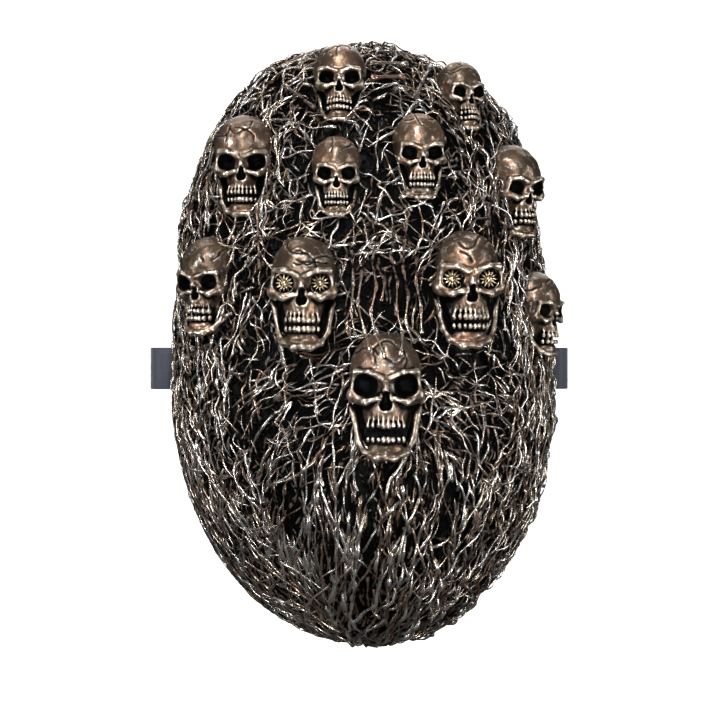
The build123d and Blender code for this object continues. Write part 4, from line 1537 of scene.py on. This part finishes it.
def make_rivet(side, label, copies, cap, steel):
    """A rivet's two caps, back to back through the tab and the band."""
    inner = side * (BAND_X - BAND_THICK / 2 - 0.05 * MM)
    outer = side * (TAB_INNER_X + 1.5 * TAB_THICK + 0.1 * MM)
    spots = [(inner, PIVOT_Y, STRAP_Z), (outer, PIVOT_Y, STRAP_Z)]
    ups, alongs = [(-side, 0, 0), (side, 0, 0)], [(0, 1, 0), (0, 1, 0)]
    rivet = guide_copies(f"rivet_{label}", spots, ups, alongs, copies, cap, steel)
    rim = np.hypot(mesh_points(rivet)[:, 1] - PIVOT_Y, mesh_points(rivet)[:, 2] - STRAP_Z)
    set_attribute(rivet, "edge", 0.3 + 0.5 * smoothstep(3.2 * MM, 3.9 * MM, rim))
    give(new_object(f"capped_rivet_{label}", rivet), "mask", "rivet_metal", f"strap_rivet_{label}")


def make_tabs(webbing, thread, steel, copies):
    stitch = new_object("stitch_shape", stitch_shape())
    cap = new_object("cap_shape", cap_shape())
    for side, label in ((-1, "left"), (1, "right")):
        make_tab(side, label, webbing)
        sew_tab(side, label, copies, stitch, thread)
        make_rivet(side, label, copies, cap, steel)
    for shape in (stitch, cap):
        bpy.data.objects.remove(shape)


def stitch_shape():
    """One thread stitch lying along X, sunk at both ends."""
    length, rows, sides = 2.0 * MM, 7, 6
    points, faces = [], []
    for i in range(rows):
        t = i / (rows - 1) * 2 - 1
        thick = 0.26 * MM * math.sqrt(max(1 - t**4, 0.05))
        rise = 0.10 * MM * (1 - t * t) - 0.06 * MM
        for j in range(sides):
            a = 2 * math.pi * j / sides
            points.append((t * length / 2, thick * math.cos(a), rise + thick * math.sin(a)))
    for i in range(rows - 1):
        for j in range(sides):
            k = (j + 1) % sides
            faces.append((i * sides + j, i * sides + k, (i + 1) * sides + k, (i + 1) * sides + j))
    faces.append(tuple(range(sides - 1, -1, -1)))
    faces.append(tuple((rows - 1) * sides + j for j in range(sides)))
    return new_mesh("stitch_shape", points, faces)


def stitch_spots():
    """Two rows of stitches across the tab and one down each side between them: (y, z, vertical)."""
    spots = []
    pitch = 2.6 * MM
    for y in (15.5 * MM, 30.0 * MM):
        for i in range(7):
            spots.append((y, (i - 3) * pitch, True))
    for z in (-8.6 * MM, 8.6 * MM):
        for i in range(5):
            spots.append((17.5 * MM + i * pitch, z, False))
    return spots


def cap_shape():
    """A rivet's cap: a low dome with a rolled edge, on a short length of shank."""
    profile = [(0, 1.25), (0.8, 1.24), (1.9, 1.12), (2.9, 0.86), (3.5, 0.58), (3.9, 0.5), (4.0, 0.25)]
    profile += [(3.9, 0.0), (1.5, 0.0), (1.45, -1.4), (0, -1.4)]
    return lathe("cap_shape", [(r * MM, h * MM) for r, h in profile])


def make_band(elastic):
    """The elastic from rivet to rivet round the back of the head."""
    start_y = PIVOT_Y - 9 * MM
    corners = [(BAND_X, start_y), (BAND_X, BAND_BACK_Y), (-BAND_X, BAND_BACK_Y), (-BAND_X, start_y)]
    route = evened(rounded_route([Vector(c) for c in corners], [BAND_CORNER] * 2, 24), 2 * MM)
    count = len(route) - 1

    def round_end(share):
        from_end = min(share, 1 - share) * count * 2 * MM
        return math.sqrt(max(1 - max(1 - from_end / (9 * MM), 0) ** 2, 0.03))

    mesh = ribbon("elastic", route, STRAP_WIDTH, BAND_THICK, STRAP_Z, elastic, shape=round_end)
    band = new_object("elastic_band", mesh)
    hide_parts("band_side_left", "band_side_right", "band_rear")
    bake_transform(band)


def make_bands(elastic, thread, copies):
    """The elastic, its doubled-over end and the stitches that hold that end."""
    make_band(elastic)
    low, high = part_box("band_tail")
    middle_y = (low.y + high.y) / 2
    tail_route = evened([Vector((low.x, middle_y)), Vector((high.x, middle_y))], 2 * MM)
    tail = new_object("elastic_tail", ribbon("tail", tail_route, STRAP_WIDTH, BAND_THICK, STRAP_Z, elastic))
    give(tail, "strap_rear", "strap_elastic", "band_tail")
    stitch = new_object("stitch_shape", stitch_shape())
    spots = []
    for x in (low.x + 3 * MM, low.x + 6 * MM, high.x - 3 * MM):
        spots += [(x, high.y + 0.02 * MM, STRAP_Z + (i - 3) * 2.6 * MM) for i in range(7)]
    ups, alongs = [(0, 1, 0)] * len(spots), [(0, 0, 1)] * len(spots)
    sewn = guide_copies("tail_sewing", spots, ups, alongs, copies, stitch, thread)
    give(new_object("tail_stitches", sewn), "strap_rear", "strap_elastic")
    bpy.data.objects.remove(stitch)


def softened_copy(node, name, width, material):
    """A CAD node's own shape, merged and given rounded edges."""
    piece = cad_copy(node, name)
    mesh = piece.data
    work = bmesh.new()
    work.from_mesh(mesh)
    bmesh.ops.remove_doubles(work, verts=work.verts, dist=1e-5)
    bmesh.ops.dissolve_limit(work, angle_limit=math.radians(2), verts=work.verts, edges=work.edges)
    work.to_mesh(mesh)
    work.free()
    mesh.materials.append(material)
    bevel = piece.modifiers.new("soft_edges", "BEVEL")
    bevel.width, bevel.segments, bevel.limit_method = width, 3, "ANGLE"
    piece.data = applied(piece)
    shade_smooth(piece.data, 40)
    return piece


# ---- pads ---------------------------------------------------------------------------------------
def make_pads(material):
    for node in ("brow_pad", "cheek_pad_left", "cheek_pad_right"):
        piece = softened_pad(node, material)
        give(piece, "mask", "pad_foam", node)


def softened_pad(node, material):
    """A pad puffed from a slightly smaller copy of its CAD block by cloth under pressure."""
    piece = cad_copy(node, "puffed_" + node)
    remesh = piece.modifiers.new("even_mesh", "REMESH")
    remesh.mode, remesh.voxel_size = "VOXEL", 2.6 * MM
    mesh = piece.data = applied(piece)
    start = mesh_points(mesh)
    centre = start.mean(0)
    start = centre + (start - centre) * 0.93
    set_points(mesh, start)
    set_points(mesh, puff(piece, start, 2.5 * MM))
    mesh.update()
    smooth = piece.modifiers.new("round_off", "SUBSURF")
    smooth.levels = smooth.render_levels = 1
    mesh = piece.data = applied(piece)
    points = mesh_points(mesh)
    height, normal = over_dome(points)
    set_points(mesh, points - normal * np.clip(height + 3.1 * MM, 0, None)[:, None])
    mesh.materials.append(material)
    shade_smooth(mesh)
    return piece


def puff(piece, start, most):
    """Cloth with pressure and no gravity for twenty frames; no point moves further than most."""
    scene = bpy.context.scene
    cloth = piece.modifiers.new("puff", "CLOTH")
    cloth.settings.use_pressure = True
    cloth.settings.uniform_pressure_force = 4.0
    cloth.settings.effector_weights.gravity = 0
    cloth.settings.quality = 6
    for number in range(1, 21):
        scene.frame_set(number)
    depsgraph = bpy.context.evaluated_depsgraph_get()
    swollen = bpy.data.meshes.new_from_object(piece.evaluated_get(depsgraph))
    move = mesh_points(swollen) - start
    far = np.linalg.norm(move, axis=1)[:, None] + 1e-12
    bpy.data.meshes.remove(swollen)
    piece.modifiers.clear()
    scene.frame_set(1)
    return start + move * np.minimum(1, most / far)


# ---- stage, light and camera --------------------------------------------------------------------
def make_camera():
    """Level with the middle of the mask, a little to its left, from about two metres."""
    azimuth, distance, middle = math.radians(-6.5), 1.9, Vector((0, 0, -0.034))
    back = Vector((math.sin(azimuth), -math.cos(azimuth), 0))
    camera = bpy.data.objects.new("camera", bpy.data.cameras.new("camera"))
    camera.location = middle + back * distance
    camera.rotation_euler = (-back).to_track_quat("-Z", "Y").to_euler()
    camera.data.lens = 197
    bpy.context.scene.collection.objects.link(camera)
    bpy.context.scene.camera = camera


def make_stage():
    """A pale floor that curves up into a wall all round."""
    floor_z, reach, curve, top, around = -0.27, 3.4, 1.2, 5.0, 64
    profile = [(reach - curve, floor_z)]
    for i in range(1, 13):
        a = math.radians(90 * i / 12)
        profile.append((reach - curve + curve * math.sin(a), floor_z + curve * (1 - math.cos(a))))
    profile.append((reach, top))
    turns = [2 * math.pi * i / around for i in range(around)]
    points = [(r * math.cos(a), r * math.sin(a), z) for r, z in profile for a in turns]
    faces = [tuple(range(around))]
    for row in range(len(profile) - 1):
        for i in range(around):
            here, after = row * around + i, row * around + (i + 1) % around
            faces.append((here, here + around, after + around, after))
    mesh = new_mesh("stage", points, faces)
    shade_smooth(mesh)
    material, _, shader = new_material("pale_paper")
    shader.inputs["Base Color"].default_value = (0.9, 0.9, 0.9, 1)
    shader.inputs["Roughness"].default_value = 0.9
    shader.inputs["Emission Color"].default_value = (1, 1, 1, 1)
    shader.inputs["Emission Strength"].default_value = 0.95
    mesh.materials.append(material)
    stage = new_object("stage", mesh)
    stage.visible_diffuse = stage.visible_glossy = stage.visible_shadow = False


def make_light(name, place, target, size, watts):
    data = bpy.data.lights.new(name, "AREA")
    data.shape, data.size, data.size_y, data.energy = "RECTANGLE", size[0], size[1], watts
    lamp = bpy.data.objects.new(name, data)
    lamp.location = place
    lamp.rotation_euler = (Vector(target) - Vector(place)).to_track_quat("-Z", "Y").to_euler()
    bpy.context.scene.collection.objects.link(lamp)


def make_lights():
    middle = (0, -0.05, -0.03)
    make_light("top_box", (-0.25, -0.85, 1.10), middle, (0.4, 0.3), 14)
    make_light("front_box", (-0.35, -1.9, 0.75), middle, (0.28, 0.28), 15)
    make_light("low_front", (0.25, -1.5, -0.80), middle, (0.28, 0.28), 15)
    make_light("left_strip", (-1.2, -0.6, 0.1), middle, (0.15, 0.9), 9)
    make_light("right_strip", (1.2, -0.6, 0.0), middle, (0.15, 0.9), 8)
    make_light("rear_fill", (0.3, 1.5, 0.9), (0, 0, 0), (1.2, 0.9), 8)
    make_light("backdrop_wash", (0, 1.2, 2.4), (0, 3.0, -0.2), (3.0, 1.0), 60)
    world = bpy.data.worlds.new("studio")
    world.use_nodes = True
    world.node_tree.nodes["Background"].inputs["Color"].default_value = (1, 1, 1, 1)
    world.node_tree.nodes["Background"].inputs["Strength"].default_value = 0.02
    bpy.context.scene.world = world
    bpy.context.scene.view_settings.view_transform = "Standard"


# ---- build --------------------------------------------------------------------------------------
def dress_cad(node, material):
    """A CAD node that keeps its own shape and gets a finished material."""
    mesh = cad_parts[node].data
    mesh.materials.clear()
    mesh.materials.append(material)


make_camera()
make_stage()
make_lights()

strand_paint = strand_material()
skull_paint = skull_material()
webbing = cloth_material("navy_webbing", NAVY, (0.028, 0.034, 0.058), 0.9 * MM, 0.7 * MM, 0.55, 0.12 * MM)
elastic = cloth_material("navy_elastic", NAVY, (0.026, 0.032, 0.052), 1.1 * MM, 0.5 * MM, 0.6, 0.16 * MM)
plastic = plastic_material()
netting = shade_netting_material()
steel = black_steel_material()

skin = strand_tree()
copies = copies_tree()
dress_cad("mask_shell", latex_material())
# The gauze sheets are painted shade: near-black net behind the openings, where the inside of the mask is
# dark.
for gauze in ("gauze_sight_left", "gauze_sight_right", "gauze_breath"):
    dress_cad(gauze, netting)
for index, skull in enumerate(SKULLS):
    make_skull(skull, index, skull_paint)
make_skin(strand_paint)
make_strands(skin, strand_paint)
make_bones(skin, strand_paint)
make_grilles(flower_tree(), bright_metal_material())
make_tabs(webbing, plastic, steel, copies)
make_bands(elastic, plastic, copies)
slider = softened_copy("slider", "moulded_slider", 0.35 * MM, plastic)
give(slider, "slider", "slider_plastic", "slider")
make_pads(foam_material())
